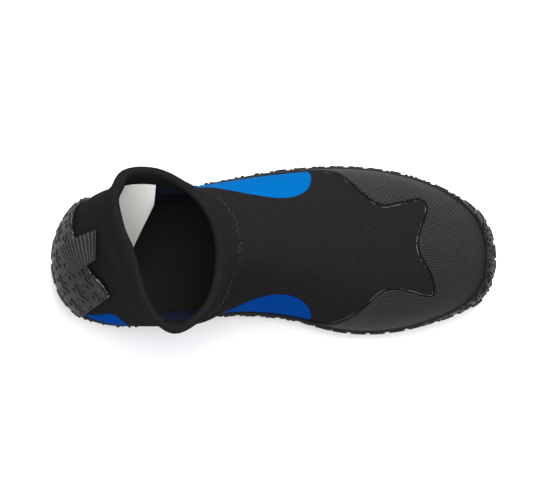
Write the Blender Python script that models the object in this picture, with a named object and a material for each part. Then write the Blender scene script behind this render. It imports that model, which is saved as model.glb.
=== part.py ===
"""Low wetsuit bootie for a left foot: a hollow neoprene upper with a slack ankle collar, a cupped rubber
outsole that wraps up the heel, a toe cap with a star-shaped edge, an insole, a pull loop and a bare label.

Tables and sizes are in millimetres: x runs from the heel to the toe, y to the lateral (left) side and z up
from the floor. The meshes are made in metres, with the origin on the floor under the middle of the bootie.
"""

import math
from collections import namedtuple

import bmesh
import bpy
import numpy as np
from mathutils import Vector
from mathutils.geometry import delaunay_2d_cdt

MM = 0.001

# Wall thicknesses and clearances
UPPER_WALL = 3.0
HEM_WALL = 4.6
GLUE_GAP = 0.4
SHEET_GAP = 0.6
SOLE_SHEET = 2.7
RAND_WALL = 2.2
TOE_CAP_WALL = 1.0
INSOLE_WALL = 3.0
INSOLE_INSET = UPPER_WALL + 2.2
LABEL_WALL = 0.6

# Sole heights above the floor and the shape of its underside
LUG_HEIGHT = 1.3
FLOOR_HEIGHT = LUG_HEIGHT + SOLE_SHEET
FEATHER_HEIGHT = FLOOR_HEIGHT + GLUE_GAP
TOE_SPRING = 11.0
TOE_SPRING_START = 195.0
HEEL_LIFT = 1.5
HEEL_LIFT_END = 16.0
ARCH_RISE = 2.2
ARCH_MIDDLE = 112.0
ARCH_HALF_LENGTH = 42.0
ARCH_HALF_WIDTH = 30.0

# Three-armed lugs on a triangular grid
LUG_ARMS = 3
LUG_PITCH = 13.6
LUG_ROW_PITCH = 12.3
LUG_ARM = 5.6
LUG_ARM_WIDTH = 2.2
LUG_EDGE_MARGIN = 0.6

# The feather line, where the upper meets the sole, from the heel back to the toe tip
Feather = namedtuple("Feather", "along lateral medial")
FEATHER_LINE = (
    Feather(0, 0, 0),
    Feather(8, 23, 28.5),
    Feather(30, 34.5, 37.8),
    Feather(68, 39, 37),
    Feather(110, 49, 33),
    Feather(150, 56, 36),
    Feather(188, 59, 45.5),
    Feather(212, 57.5, 46.5),
    Feather(240, 51.5, 42),
    Feather(264, 41, 34.5),
    Feather(280, 29.5, 26),
    Feather(289, 0, 0),
)

# The top line of the vamp: each rib that starts at foot_along on the feather line ends here
Ridge = namedtuple("Ridge", "foot_along along height across")
VAMP_RIDGE = (
    Ridge(118, 104, 86, 1),
    Ridge(150, 142, 69, -1),
    Ridge(190, 186, 55.5, 0),
    Ridge(230, 223, 47.5, 2),
    Ridge(264, 247, 42, 1),
    Ridge(289, 258, 38.5, 0),
)

# How each rib leaves the feather line (lean out from upright) and how far its two ends pull its curve
Rib = namedtuple("Rib", "along lean lower_pull upper_pull")
RIB_SHAPE = (
    Rib(0, 24, 0.45, 0.26),
    Rib(30, 20, 0.45, 0.26),
    Rib(70, 17, 0.45, 0.32),
    Rib(118, 15, 0.45, 0.45),
    Rib(190, 10, 0.55, 0.55),
    Rib(250, 2, 0.55, 0.58),
    Rib(289, -14, 0.50, 0.58),
)
TOE_FAN_RIBS = 7
TOE_RIDGE_SLOPE = 0.45

# The ankle collar, from its front round the lateral side to its back (turn 1) and on by the medial side: the
# loop at its base, its rim, and the angles at which the wall reaches each: level inwards is 0, upright is 90
Collar = namedtuple("Collar", "turn base_along base_across base_height base_rise "
                              "rim_along rim_across rim_height rim_rise")
COLLAR_LOOP = (
    Collar(0.00, 105, 1, 85.5, 32, 92.5, 2, 97, 46),
    Collar(0.25, 96, 34, 73, 66, 81.5, 31, 97, 52),
    Collar(0.50, 64, 41, 70, 95, 56, 50, 96, 114),
    Collar(0.75, 25, 39.5, 68, 82, 29.5, 45.5, 98, 98),
    Collar(1.00, 16, 4, 68, 78, 35, 9, 100, 62),
    Collar(1.25, 36, -30, 68, 85, 46, -34, 97, 92),
    Collar(1.50, 64, -44.5, 70, 98, 65, -51, 94, 114),
    Collar(1.75, 97, -33, 73, 66, 86.5, -33, 96, 58),
)
FULL_TURN = 2.0
COLLAR_MIDDLE = (59.5, 0.0)
COLLAR_SHARES = (0.0, 0.28, 0.52, 0.57, 0.80, 1.0)
HEM_FIRST_SHARE = 3
COLLAR_LOWER_PULL = 0.40
COLLAR_UPPER_PULL = 0.35
THROAT_BLEND = 0.45
COLLAR_REACH = 0.75

# Height of the rubber band above the feather line, measured up the wall
Band = namedtuple("Band", "along height")
RAND_HEIGHT = (Band(0, 9), Band(70, 8), Band(130, 8.5), Band(230, 9), Band(268, 12), Band(289, 16.5))
RAND_TUCK = 3.0
RAND_ROLL = 1.3

# The heel flap that rises from the band: its height up the wall at each rib it spans, counted from the heel
# back, with the lateral side below 0
Flap = namedtuple("Flap", "rib height")
HEEL_FLAP = (
    Flap(-4, 22),
    Flap(-3, 30),
    Flap(-2, 38),
    Flap(-1, 46),
    Flap(0, 52.5),
    Flap(1, 57.5),
    Flap(2, 61),
    Flap(3, 54),
)

# Rear edge of the toe cap on the unrolled vamp, with a point at each side and hollows between: turn is the
# angle to the lateral side round a lengthwise axis under the floor
Edge = namedtuple("Edge", "along turn")
CAP_EDGE_LATERAL = (
    Edge(151.5, 75),
    Edge(153.5, 63),
    Edge(157.5, 57.5),
    Edge(164, 55.6),
    Edge(172, 53.2),
    Edge(179.5, 49.6),
    Edge(189.7, 38.7),
    Edge(195.4, 33.3),
    Edge(201.6, 29),
    Edge(208.2, 27.2),
)
CAP_EDGE_FRONT = (
    Edge(208.2, 27.2),
    Edge(215.4, 29.1),
    Edge(222.7, 31.1),
    Edge(230.2, 33.6),
    Edge(234.7, 34.5),
    Edge(237.8, 33),
    Edge(238.7, 30),
    Edge(236.5, 23),
    Edge(231.9, 13.4),
    Edge(230, 5.9),
    Edge(231.2, 1),
    Edge(234.8, -4.3),
    Edge(239.7, -11.5),
    Edge(242.3, -19.1),
    Edge(242.8, -25.6),
)
CAP_EDGE_MEDIAL = (
    Edge(242.8, -25.6),
    Edge(235.7, -24.6),
    Edge(228.2, -22),
    Edge(220.9, -20.2),
    Edge(213.8, -18.9),
    Edge(208, -19.2),
    Edge(203.7, -21.2),
    Edge(197.5, -26.3),
    Edge(188.9, -34.3),
    Edge(177.8, -44),
    Edge(168, -55),
    Edge(160, -68),
)
CAP_EDGE_STEPS = 2
CAP_AXIS_HEIGHT = -20.0
CAP_FRONT = 300.0
CAP_SIDE_TURN = 85.0
CAP_CUTTER_RADII = (150.0, 30.0)
CAP_CUTTER_GRID = 10.0
CAP_REAR_RIB = 16

# Pull loop: its centre line out from the heel seam, from the upper root round the fold to the lower root
Fold = namedtuple("Fold", "share out up")
PULL_LOOP = (
    Fold(0.00, -0.8, 3.6),
    Fold(0.15, 6.0, 4.4),
    Fold(0.30, 11.8, 1.6),
    Fold(0.42, 16.6, -4.0),
    Fold(0.50, 18.6, -9.0),
    Fold(0.58, 16.8, -12.0),
    Fold(0.70, 11.8, -8.0),
    Fold(0.85, 5.8, -4.0),
    Fold(1.00, 2.3, -3.6),
)
LOOP_WIDTH = 18.5
LOOP_WALL = 1.4
LOOP_STEPS = 24
LOOP_ROOT_HEIGHT = 71.0
LOOP_ROOT_CLEAR = 0.3
LOOP_LEAN_DEG = 26.0
LOOP_TWIST_DEG = 26.0

# Bare label sewn in under the lateral hem: the ribs that it spans, and how it hangs free into the shoe
LABEL_FIRST_RIB = 26
LABEL_LAST_RIB = 29
LABEL_SHORT = 17.0
LABEL_LONG = 58.0
LABEL_SLOPE_DEG = 48.0
LABEL_STEPS = 4

# Mesh fineness: ribs on each side of the foot, and points up a rib
FORE_RIBS = 19
REAR_RIBS = 13
RIBS = FORE_RIBS + REAR_RIBS
ROUND_RIBS = 2 * RIBS
BODY_STEPS = 10
RAND_STEPS = 5
FLAP_STEPS = 6
CAP_JOIN_STEP = 6
CAP_LOW_STEPS = 5
CAP_STEPS = BODY_STEPS - CAP_JOIN_STEP + CAP_LOW_STEPS
CURVE_SAMPLES = 2000
SHARP_DEG = 40.0
FAIRING_ROUNDS = 14
FAIRING_SHRINK = 0.50
FAIRING_SWELL = -0.53

LATERAL, MEDIAL = 1, -1

# How a plan is split into triangles: only what lies inside its loops is kept, and closer points are one
KEEP_INSIDE = 1
SAME_POINT = 1e-6

Skin = namedtuple("Skin", "points normals faces where")


def smooth(stations, values, at):
    """Values at `at` on a smooth curve through rising stations, held level past both ends."""
    stations = np.asarray(stations, float)
    values = np.asarray(values, float)
    slopes = np.gradient(values, stations)
    at = np.clip(np.asarray(at, float), stations[0], stations[-1])
    i = np.clip(np.searchsorted(stations, at) - 1, 0, len(stations) - 2)
    step = stations[i + 1] - stations[i]
    t = (at - stations[i]) / step
    rise = values[i + 1] - values[i]
    first, last = slopes[i] * step, slopes[i + 1] * step
    return values[i] + t * (first + t * (3 * rise - 2 * first - last + t * (first + last - 2 * rise)))


def column(rows, name):
    return [getattr(row, name) for row in rows]


def lookup(rows, key, name, at):
    """Column `name` of a table, read smoothly at a value of its column `key`."""
    return smooth(column(rows, key), column(rows, name), at)


def unit(vectors):
    return vectors / np.linalg.norm(vectors, axis=-1, keepdims=True)


def lengths_along(points):
    """Distance of each point from the first, along the line."""
    steps = np.linalg.norm(np.diff(points, axis=0), axis=1)
    return np.concatenate([[0.0], np.cumsum(steps)])


def read_line(points, run, at):
    """Points of a line at distances `at`, where `run` holds the distance of each given point."""
    return np.column_stack([np.interp(at, run, points[:, axis]) for axis in range(points.shape[1])])


def resample(points, count):
    """count + 1 points evenly spaced along a line of points."""
    run = lengths_along(points)
    return read_line(points, run, np.linspace(0, run[-1], count + 1))


def bezier(start, start_pull, end_pull, end, t):
    t = np.asarray(t)[:, None]
    rest = 1 - t
    return rest**3 * start + 3 * rest**2 * t * start_pull + 3 * rest * t**2 * end_pull + t**3 * end


def rising(inward, degrees):
    """A direction that starts level inwards and turns up, and past 90 degrees leans out."""
    angle = math.radians(degrees)
    return math.cos(angle) * inward + math.sin(angle) * np.array([0.0, 0.0, 1.0])


def sole_rise(along, across):
    """How far the sole curves up from the floor: toe spring, heel lift and the arch on the medial side."""
    spring = np.clip((along - TOE_SPRING_START) / (FEATHER_LINE[-1].along - TOE_SPRING_START), 0, None)
    heel = np.clip((HEEL_LIFT_END - along) / HEEL_LIFT_END, 0, None)
    arch = np.clip(1 - ((along - ARCH_MIDDLE) / ARCH_HALF_LENGTH) ** 2, 0, None) ** 2
    medial_share = np.clip(0.5 - 0.5 * across / ARCH_HALF_WIDTH, 0, 1)
    return TOE_SPRING * spring**2 + HEEL_LIFT * heel**2 + ARCH_RISE * arch * medial_share


def feather_half(side):
    """RIBS + 1 points (x, y) of the feather line on one side, from the toe tip to the heel back."""
    toe_to_heel = FEATHER_LINE[::-1]
    near = [(row.along, row.lateral if side == LATERAL else -row.medial) for row in toe_to_heel]
    far = [(row.along, -row.medial if side == LATERAL else row.lateral) for row in toe_to_heel]
    points = np.array(far[2:0:-1] + near + far[-2:-4:-1], float)
    run = lengths_along(points)
    at = np.linspace(run[2], run[-3], CURVE_SAMPLES)
    dense = np.column_stack([smooth(run, points[:, axis], at) for axis in (0, 1)])
    throat = int(np.argmin(np.abs(dense[:, 0] - VAMP_RIDGE[0].foot_along)))
    fore = resample(dense[: throat + 1], FORE_RIBS)
    rear = resample(dense[throat:], REAR_RIBS)
    return np.vstack([fore, rear[1:]])


def outward_at(feet, k, side):
    """Level direction out of the foot at rib k."""
    if k == 0:
        return np.array([1.0, 0.0, 0.0])
    if k == RIBS:
        return np.array([-1.0, 0.0, 0.0])
    tangent = feet[k + 1] - feet[k - 1]
    return unit(np.array([tangent[1], -tangent[0], 0.0])) * side


def collar_at(side, turn):
    """The collar's row at a turn from its front to its back on one side, read from the closed loop."""
    around = turn if side == LATERAL else FULL_TURN - turn
    rows = COLLAR_LOOP * 3
    turns = [row.turn + lap for lap in (-FULL_TURN, 0, FULL_TURN) for row in COLLAR_LOOP]
    return Collar(turn, *(float(smooth(turns, column(rows, name), around)) for name in Collar._fields[1:]))


def rib_of(side, k, feet, ridge_foot):
    """The points up rib k: from the feather line to the vamp's ridge, or on to the collar's rim."""
    foot = np.array([*feet[k], FEATHER_HEIGHT + sole_rise(*feet[k])])
    lean, lower_pull, upper_pull = (
        float(lookup(RIB_SHAPE, "along", name, foot[0])) for name in ("lean", "lower_pull", "upper_pull")
    )
    start_way = rising(-outward_at(feet, k, side), 90 + lean)
    over_ridge = np.array([0.0, -side, 0.0])
    if k < FORE_RIBS:
        names = "along", "across", "height"
        top = np.array([lookup(VAMP_RIDGE, "foot_along", name, ridge_foot[k]) for name in names])
        toe_share = max(0.0, 1 - k / TOE_FAN_RIBS)
        end_way = unit((1 - toe_share) * over_ridge + toe_share * np.array([-1.0, 0.0, TOE_RIDGE_SLOPE]))
        reach = np.linalg.norm((top - foot)[:2])
    else:
        row = collar_at(side, (k - FORE_RIBS) / REAR_RIBS)
        top = np.array([row.base_along, row.base_across, row.base_height])
        rim = np.array([row.rim_along, row.rim_across, row.rim_height])
        middle = np.array([*COLLAR_MIDDLE, row.base_height])
        inward = unit(middle - top)
        collar_way = rising(inward, row.base_rise)
        blend = float(smooth((0, THROAT_BLEND, 1), (0, 1, 1), row.turn))
        end_way = unit((1 - blend) * over_ridge + blend * collar_way)
        level_reach, full_reach = np.linalg.norm((top - foot)[:2]), np.linalg.norm(top - foot)
        reach = (1 - blend) * level_reach + blend * COLLAR_REACH * full_reach
    lower = foot + lower_pull * (top - foot)[2] * start_way
    body = bezier(foot, lower, top - upper_pull * reach * end_way, top, np.linspace(0, 1, BODY_STEPS + 1))
    if k < FORE_RIBS:
        return body
    span = np.linalg.norm(rim - top)
    rim_pull = rim - COLLAR_UPPER_PULL * span * rising(inward, row.rim_rise)
    collar = bezier(top, top + COLLAR_LOWER_PULL * span * collar_way, rim_pull, rim, COLLAR_SHARES)
    return np.vstack([body, collar[1:]])


def upper_ribs():
    """All ribs round the bootie, from the toe by the lateral side to the heel and back by the medial side."""
    halves = {side: feather_half(side) for side in (LATERAL, MEDIAL)}
    ridge_foot = (halves[LATERAL][:, 0] + halves[MEDIAL][:, 0]) / 2
    lateral = [rib_of(LATERAL, k, halves[LATERAL], ridge_foot) for k in range(RIBS + 1)]
    medial = [rib_of(MEDIAL, k, halves[MEDIAL], ridge_foot) for k in range(RIBS - 1, 0, -1)]
    return lateral + medial


def joined_key(r, j):
    """One name for the points that a lateral and a medial rib share on the ridge and the collar's front."""
    k = min(r, ROUND_RIBS - r)
    return (k, j) if k <= FORE_RIBS and j >= BODY_STEPS else (r, j)


def weld_ribs(ribs):
    """Points, quads and the index of each rib point, with the two sides joined along the ridge."""
    where, points, faces = {}, [], []
    for r, rib in enumerate(ribs):
        for j, point in enumerate(rib):
            key = joined_key(r, j)
            if key not in where:
                where[key] = len(points)
                points.append(point)
    for r in range(ROUND_RIBS):
        after = (r + 1) % ROUND_RIBS
        for j in range(min(len(ribs[r]), len(ribs[after])) - 1):
            corners = (r, j), (after, j), (after, j + 1), (r, j + 1)
            faces.append(tuple(where[joined_key(*corner)] for corner in corners))
    return np.array(points), faces, where


def border_edges(faces):
    """Edges, in their face's direction, that only one face has."""
    edges = [(face[i], face[(i + 1) % len(face)]) for face in faces for i in range(len(face))]
    present = set(edges)
    return [edge for edge in edges if edge[::-1] not in present]


def fair(points, faces):
    """Points with the kinks between ribs smoothed out and the border left where it is."""
    links = {tuple(sorted((face[i], face[(i + 1) % 4]))) for face in faces for i in range(4)}
    ends = np.array(sorted(links))
    held = np.unique(np.array(border_edges(faces)))
    count = np.bincount(ends.ravel(), minlength=len(points))[:, None]
    for weight in (FAIRING_SHRINK, FAIRING_SWELL) * FAIRING_ROUNDS:
        total = np.zeros_like(points)
        np.add.at(total, ends[:, 0], points[ends[:, 1]])
        np.add.at(total, ends[:, 1], points[ends[:, 0]])
        moved = points + weight * (total / count - points)
        moved[held] = points[held]
        points = moved
    return points


def vertex_normals(points, faces):
    corners = np.array(faces)
    first, second, third, fourth = (points[corners[:, i]] for i in range(4))
    across = np.cross(third - first, fourth - second)
    normals = np.zeros_like(points)
    for i in range(4):
        np.add.at(normals, corners[:, i], across)
    return unit(normals)


def upper_skin():
    """The outer face of the upper, with level normals along the feather line."""
    points, faces, where = weld_ribs(upper_ribs())
    points = fair(points, faces)
    normals = vertex_normals(points, faces)
    for r in range(ROUND_RIBS):
        foot = where[(r, 0)]
        normals[foot, 2] = 0
    return Skin(points, unit(normals), faces, where)


def rib_line(skin, r):
    """Points, normals and running lengths of one rib."""
    steps = [j for j in range(BODY_STEPS + len(COLLAR_SHARES)) if joined_key(r, j) in skin.where]
    rows = [skin.where[joined_key(r, j)] for j in steps]
    points = skin.points[rows]
    return points, skin.normals[rows], lengths_along(points)


def on_rib(skin, r, heights, offset):
    """Points at heights up a rib, moved out of the skin by an offset, or by one for each height."""
    points, normals, run = rib_line(skin, r % ROUND_RIBS)
    ways = unit(read_line(normals, run, heights))
    return read_line(points, run, heights) + ways * np.reshape(offset, (-1, 1))


def rand_height(skin, r):
    return float(lookup(RAND_HEIGHT, "along", "height", skin.points[skin.where[(r % ROUND_RIBS, 0)], 0]))


def shell(outer, inner, faces):
    """A closed wall between two copies of a surface."""
    count = len(outer)
    back = [tuple(i + count for i in reversed(face)) for face in faces]
    sides = [(b, a, a + count, b + count) for a, b in border_edges(faces)]
    return np.vstack([outer, inner]), list(faces) + back + sides


def new_object(name, points, faces, material):
    mesh = bpy.data.meshes.new(name)
    mesh.from_pydata([Vector(point) * MM for point in points], [], faces)
    mesh.materials.append(material)
    used = bmesh.new()
    used.from_mesh(mesh)
    bmesh.ops.delete(used, geom=[v for v in used.verts if not v.link_faces], context="VERTS")
    used.to_mesh(mesh)
    used.free()
    mesh.shade_smooth()
    mesh.set_sharp_from_angle(angle=math.radians(SHARP_DEG))
    thing = bpy.data.objects.new(name, mesh)
    bpy.context.scene.collection.objects.link(thing)
    return thing


def turn_faces_out(thing):
    form = bmesh.new()
    form.from_mesh(thing.data)
    bmesh.ops.recalc_face_normals(form, faces=form.faces)
    form.to_mesh(thing.data)
    form.free()


def make_material(name, colour, roughness):
    material = bpy.data.materials.new(name)
    material.use_nodes = True
    shader = material.node_tree.nodes["Principled BSDF"]
    shader.inputs["Base Color"].default_value = (*colour, 1.0)
    shader.inputs["Roughness"].default_value = roughness
    shader.inputs["Metallic"].default_value = 0.0
    return material


def make_upper(skin, material):
    """The neoprene shell, thicker at the hem that is turned in along the rim."""
    wall = np.full(len(skin.points), UPPER_WALL)
    for (_, j), i in skin.where.items():
        if j >= BODY_STEPS + HEM_FIRST_SHARE:
            wall[i] = HEM_WALL
    inner = skin.points - skin.normals * wall[:, None]
    return new_object("upper", *shell(skin.points, inner, skin.faces), material)


def lug_outline(middle):
    """Corners of one three-armed lug in plan, with one arm towards the toe."""
    half = LUG_ARM_WIDTH / 2
    half_turn = math.pi / LUG_ARMS
    fork = half / math.sin(half_turn)
    corners = []
    for arm in range(LUG_ARMS):
        way = 2 * half_turn * arm
        ahead = np.array([math.cos(way), math.sin(way)])
        aside = np.array([-math.sin(way), math.cos(way)])
        corners += [middle + LUG_ARM * ahead - half * aside, middle + LUG_ARM * ahead + half * aside]
        turn = way + half_turn
        corners.append(middle + fork * np.array([math.cos(turn), math.sin(turn)]))
    return np.array(corners)


def inside(loop, points):
    """Which points lie inside a closed loop in plan."""
    hits = np.zeros(len(points), bool)
    for a, b in zip(loop, np.roll(loop, -1, axis=0)):
        spans = (a[1] > points[:, 1]) != (b[1] > points[:, 1])
        rise = b[1] - a[1] if b[1] != a[1] else 1.0
        hits ^= spans & (points[:, 0] < a[0] + (points[:, 1] - a[1]) * (b[0] - a[0]) / rise)
    return hits


def lug_outlines(border):
    """Outlines of every lug that lies wholly inside the border of the tread."""
    low, high = border.min(axis=0), border.max(axis=0)
    rows = int((high[1] - low[1]) / LUG_ROW_PITCH) + 1
    columns = int((high[0] - low[0]) / LUG_PITCH) + 1
    reach = lug_outline(np.zeros(2)) * (1 + LUG_EDGE_MARGIN / LUG_ARM)
    outlines = []
    for row in range(rows):
        stagger = (1 + row % 2) / 2
        for place in range(columns):
            middle = low + np.array([(place + stagger) * LUG_PITCH, (row + 0.5) * LUG_ROW_PITCH])
            if inside(border, middle + reach).all():
                outlines.append(lug_outline(middle))
    return outlines


def tread_faces(border_index, points, outlines):
    """Faces of the underside: the sheet between the lugs, the lugs' sides and their tips. Adds to points."""
    border = np.array(points)[border_index][:, :2]
    plan = [Vector(p) for p in border]
    loops = [list(range(len(border)))]
    for outline in outlines:
        loops.append(list(range(len(plan), len(plan) + len(outline))))
        plan += [Vector(p) for p in outline]
    flat, _, triangles, source, _, owners = delaunay_2d_cdt(plan, [], loops, KEEP_INSIDE, SAME_POINT)
    sheet, tip = {}, {}
    for i, origin in enumerate(source):
        if origin[0] < len(border_index):
            sheet[i] = border_index[origin[0]]
            continue
        x, y = flat[i]
        rise = float(sole_rise(x, y))
        sheet[i] = len(points)
        tip[i] = len(points) + 1
        points += [(x, y, LUG_HEIGHT + rise), (x, y, rise)]
    faces, lug_triangles = [], []
    for triangle, owner in zip(triangles, owners):
        a, b, c = (flat[i] for i in triangle)
        down = triangle if (b - a).cross(c - a) < 0 else triangle[::-1]
        if len(owner) > 1:
            lug_triangles.append(tuple(down))
            faces.append(tuple(tip[i] for i in down))
        else:
            faces.append(tuple(sheet[i] for i in down))
    faces += [(tip[b], tip[a], sheet[a], sheet[b]) for a, b in border_edges(lug_triangles)]
    return faces


def wrap_heights(skin, r):
    """Heights of the rubber wrap's points up rib r: the band, and on it the heel flap."""
    top = rand_height(skin, r)
    band = np.linspace(0, top, RAND_STEPS + 1)
    if not HEEL_FLAP[0].rib <= r - RIBS <= HEEL_FLAP[-1].rib:
        return band
    flap_top = lookup(HEEL_FLAP, "rib", "height", r - RIBS)
    return np.concatenate([band, np.linspace(top, flap_top, FLAP_STEPS + 1)[1:]])


def make_outsole(skin, material):
    """The rubber cup: tread and lugs below, rolled side, band and heel flap, and the floor inside."""
    where, outer, inner, faces = {}, [], [], []
    for r in range(ROUND_RIBS):
        heights = wrap_heights(skin, r)
        where.update({(r, j): len(outer) + j for j in range(len(heights))})
        gaps = np.where(np.arange(len(heights)) > RAND_STEPS, SHEET_GAP, GLUE_GAP)
        outer += list(on_rib(skin, r, heights, gaps + RAND_WALL))
        inner += list(on_rib(skin, r, heights, gaps))
    for r, j in where:
        corners = [(r, j), ((r + 1) % ROUND_RIBS, j), ((r + 1) % ROUND_RIBS, j + 1), (r, j + 1)]
        if all(corner in where for corner in corners):
            faces.append(tuple(where[corner] for corner in corners))
    points, walls = shell(np.array(outer), np.array(inner), faces)
    points = [tuple(point) for point in points]
    foot_edges = {(where[(r, 0)], where[((r + 1) % ROUND_RIBS, 0)]) for r in range(ROUND_RIBS)}
    walls = [face for face in walls if (face[1], face[0]) not in foot_edges]
    undersides, sills = [], []
    for r in range(ROUND_RIBS):
        foot, out = skin.points[skin.where[(r, 0)]], skin.normals[skin.where[(r, 0)]]
        tuck = foot - RAND_TUCK * out
        roll = foot + (GLUE_GAP + RAND_WALL - RAND_ROLL) * out
        tuck[2] -= FEATHER_HEIGHT - LUG_HEIGHT
        roll[2] -= FEATHER_HEIGHT - LUG_HEIGHT - RAND_ROLL / 2
        sill = inner[where[(r, 0)]] - (0, 0, GLUE_GAP)
        undersides.append((len(points), len(points) + 1, where[(r, 0)]))
        sills.append((len(outer) + where[(r, 0)], len(points) + 2))
        points += [tuple(tuck), tuple(roll), tuple(sill)]
    for profiles in (undersides, sills):
        for near, far in zip(profiles, profiles[1:] + profiles[:1]):
            walls += [(near[j], far[j], far[j + 1], near[j + 1]) for j in range(len(near) - 1)]
    tread = [profile[0] for profile in undersides]
    walls += floor_faces(points, [profile[-1] for profile in sills], up=True)
    walls += tread_faces(tread, points, lug_outlines(np.array(points)[tread][:, :2]))
    return new_object("outsole", points, walls, material)


def floor_faces(points, border, up):
    """Faces that close a foot-shaped border across a spine half way between its two sides. Adds to points."""
    spine = {0: border[0], RIBS: border[RIBS]}
    for k in range(1, RIBS):
        near, far = np.array(points[border[k]]), np.array(points[border[ROUND_RIBS - k]])
        spine[k] = len(points)
        points.append(tuple((near + far) / 2))
    faces = []
    for k in range(RIBS):
        lateral = [border[k], border[k + 1], spine[k + 1], spine[k]]
        medial = [border[-k - 1], border[-k], spine[k], spine[k + 1]]
        for face in (lateral, medial):
            distinct = tuple(dict.fromkeys(face))
            faces.append(distinct if up else distinct[::-1])
    return faces


def make_insole(skin, material):
    """The foot bed: a plate on the sole's floor, clear of the upper's inner wall."""
    points, rings = [], []
    for r in range(ROUND_RIBS):
        foot = skin.points[skin.where[(r, 0)]]
        edge = foot - INSOLE_INSET * skin.normals[skin.where[(r, 0)]]
        rings.append((len(points), len(points) + 1))
        points += [tuple(edge), tuple(edge + (0, 0, INSOLE_WALL))]
    after = rings[1:] + rings[:1]
    faces = [(low, next_low, next_top, top) for (low, top), (next_low, next_top) in zip(rings, after)]
    faces += floor_faces(points, [top for _, top in rings], up=True)
    faces += floor_faces(points, [low for low, _ in rings], up=False)
    return new_object("insole", points, faces, material)


def cap_heights(skin, r):
    """Heights of the toe cap's points up rib r: steps from the band to a row of the upper, then its rows."""
    run = rib_line(skin, r)[2][: BODY_STEPS + 1]
    low = rand_height(skin, r) + SHEET_GAP
    steps = np.linspace(low, run[CAP_JOIN_STEP], CAP_LOW_STEPS + 1)
    steps[1:-1] = np.maximum(steps[1:-1], run[CAP_JOIN_STEP - CAP_LOW_STEPS + 1 : CAP_JOIN_STEP])
    return np.concatenate([steps, run[CAP_JOIN_STEP + 1 :]])


def cap_key(r, j):
    """One name for the points that the cap's two sides share on the ridge."""
    return (min(r, ROUND_RIBS - r), j) if j == CAP_STEPS else (r, j)


def make_toe_cap(skin, material):
    """The overlay round the toe: a shell of the upper's own form, cut along the star-shaped edge."""
    spread = [r % ROUND_RIBS for r in range(-CAP_REAR_RIB, CAP_REAR_RIB + 1)]
    where, outer, inner, faces = {}, [], [], []
    for r in spread:
        heights = cap_heights(skin, r)
        far = on_rib(skin, r, heights, SHEET_GAP + TOE_CAP_WALL)
        near = on_rib(skin, r, heights, SHEET_GAP)
        for j in range(CAP_STEPS + 1):
            if cap_key(r, j) not in where:
                where[cap_key(r, j)] = len(outer)
                outer.append(far[j])
                inner.append(near[j])
    for r, after in zip(spread, spread[1:]):
        for j in range(CAP_STEPS):
            corners = (r, j), (after, j), (after, j + 1), (r, j + 1)
            faces.append(tuple(where[cap_key(*corner)] for corner in corners))
    cap = new_object("toe_cap", *shell(np.array(outer), np.array(inner), faces), material)
    cut = cap.modifiers.new("star edge", "BOOLEAN")
    cut.operation = "INTERSECT"
    cut.solver = "EXACT"
    cut.object = cap_cutter(material)
    return cap


def cap_cutter(material):
    """A thick curved block over the toe whose rear side is the toe cap's edge."""
    loop = []
    for stroke in (CAP_EDGE_LATERAL, CAP_EDGE_FRONT, CAP_EDGE_MEDIAL):
        places = np.array(stroke, float)
        run = lengths_along(places)
        at = np.linspace(0, run[-1], CAP_EDGE_STEPS * (len(stroke) - 1) + 1)[:-1]
        loop += zip(*(smooth(run, places[:, axis], at) for axis in (0, 1)))
    rear = CAP_EDGE_MEDIAL[-1].along
    turns = np.arange(CAP_EDGE_MEDIAL[-1].turn, CAP_SIDE_TURN, CAP_CUTTER_GRID)
    loop.append((rear, -CAP_SIDE_TURN))
    loop += [(CAP_FRONT, turn) for turn in (-CAP_SIDE_TURN, *turns, CAP_SIDE_TURN)]
    grid = [(x, turn) for x in np.arange(rear, CAP_FRONT, CAP_CUTTER_GRID) for turn in turns]
    spare = np.array(grid)[inside(np.array(loop), np.array(grid))]
    plan = [Vector(place) for place in (*loop, *spare)]
    flat, _, triangles, *_ = delaunay_2d_cdt(plan, [], [list(range(len(loop)))], KEEP_INSIDE, SAME_POINT)
    x, turn = np.array(flat).T
    level, upright = np.sin(np.radians(turn)), np.cos(np.radians(turn))
    outer, inner = (
        np.column_stack([x, radius * level, CAP_AXIS_HEIGHT + radius * upright])
        for radius in CAP_CUTTER_RADII
    )
    cutter = new_object("toe_cap_cutter", *shell(outer, inner, [tuple(face) for face in triangles]), material)
    turn_faces_out(cutter)
    cutter.hide_render = True
    cutter.display_type = "WIRE"
    return cutter


def make_pull_loop(skin, material):
    """A strip of webbing folded into a loop that stands out from the heel seam and droops to one side."""
    root = on_rib(skin, RIBS, [LOOP_ROOT_HEIGHT], LOOP_ROOT_CLEAR)[0]
    share = np.linspace(0, 1, LOOP_STEPS + 1)
    out = lookup(PULL_LOOP, "share", "out", share)
    up = lookup(PULL_LOOP, "share", "up", share)
    ways = unit(np.column_stack([np.gradient(out), np.gradient(up)]))
    lean, twist = math.radians(LOOP_LEAN_DEG), math.radians(LOOP_TWIST_DEG)
    points = []
    for i in range(LOOP_STEPS + 1):
        turn = twist * out[i] / out.max()
        across = np.array([-math.sin(turn), math.cos(turn), 0.0])
        for edge, face in ((-1, 1), (1, 1), (1, -1), (-1, -1)):
            away = out[i] - face * LOOP_WALL / 2 * ways[i, 1]
            high = up[i] + face * LOOP_WALL / 2 * ways[i, 0]
            middle = root + (-away * math.cos(lean), -away * math.sin(lean), high)
            points.append(tuple(middle + edge * LOOP_WIDTH / 2 * across))
    faces = [(3, 2, 1, 0), tuple(4 * LOOP_STEPS + i for i in range(4))]
    for i in range(LOOP_STEPS):
        faces += [(4 * i + j, 4 * i + (j + 1) % 4, 4 * i + 4 + (j + 1) % 4, 4 * i + 4 + j) for j in range(4)]
    loop = new_object("pull_loop", points, faces, material)
    turn_faces_out(loop)
    return loop


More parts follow.
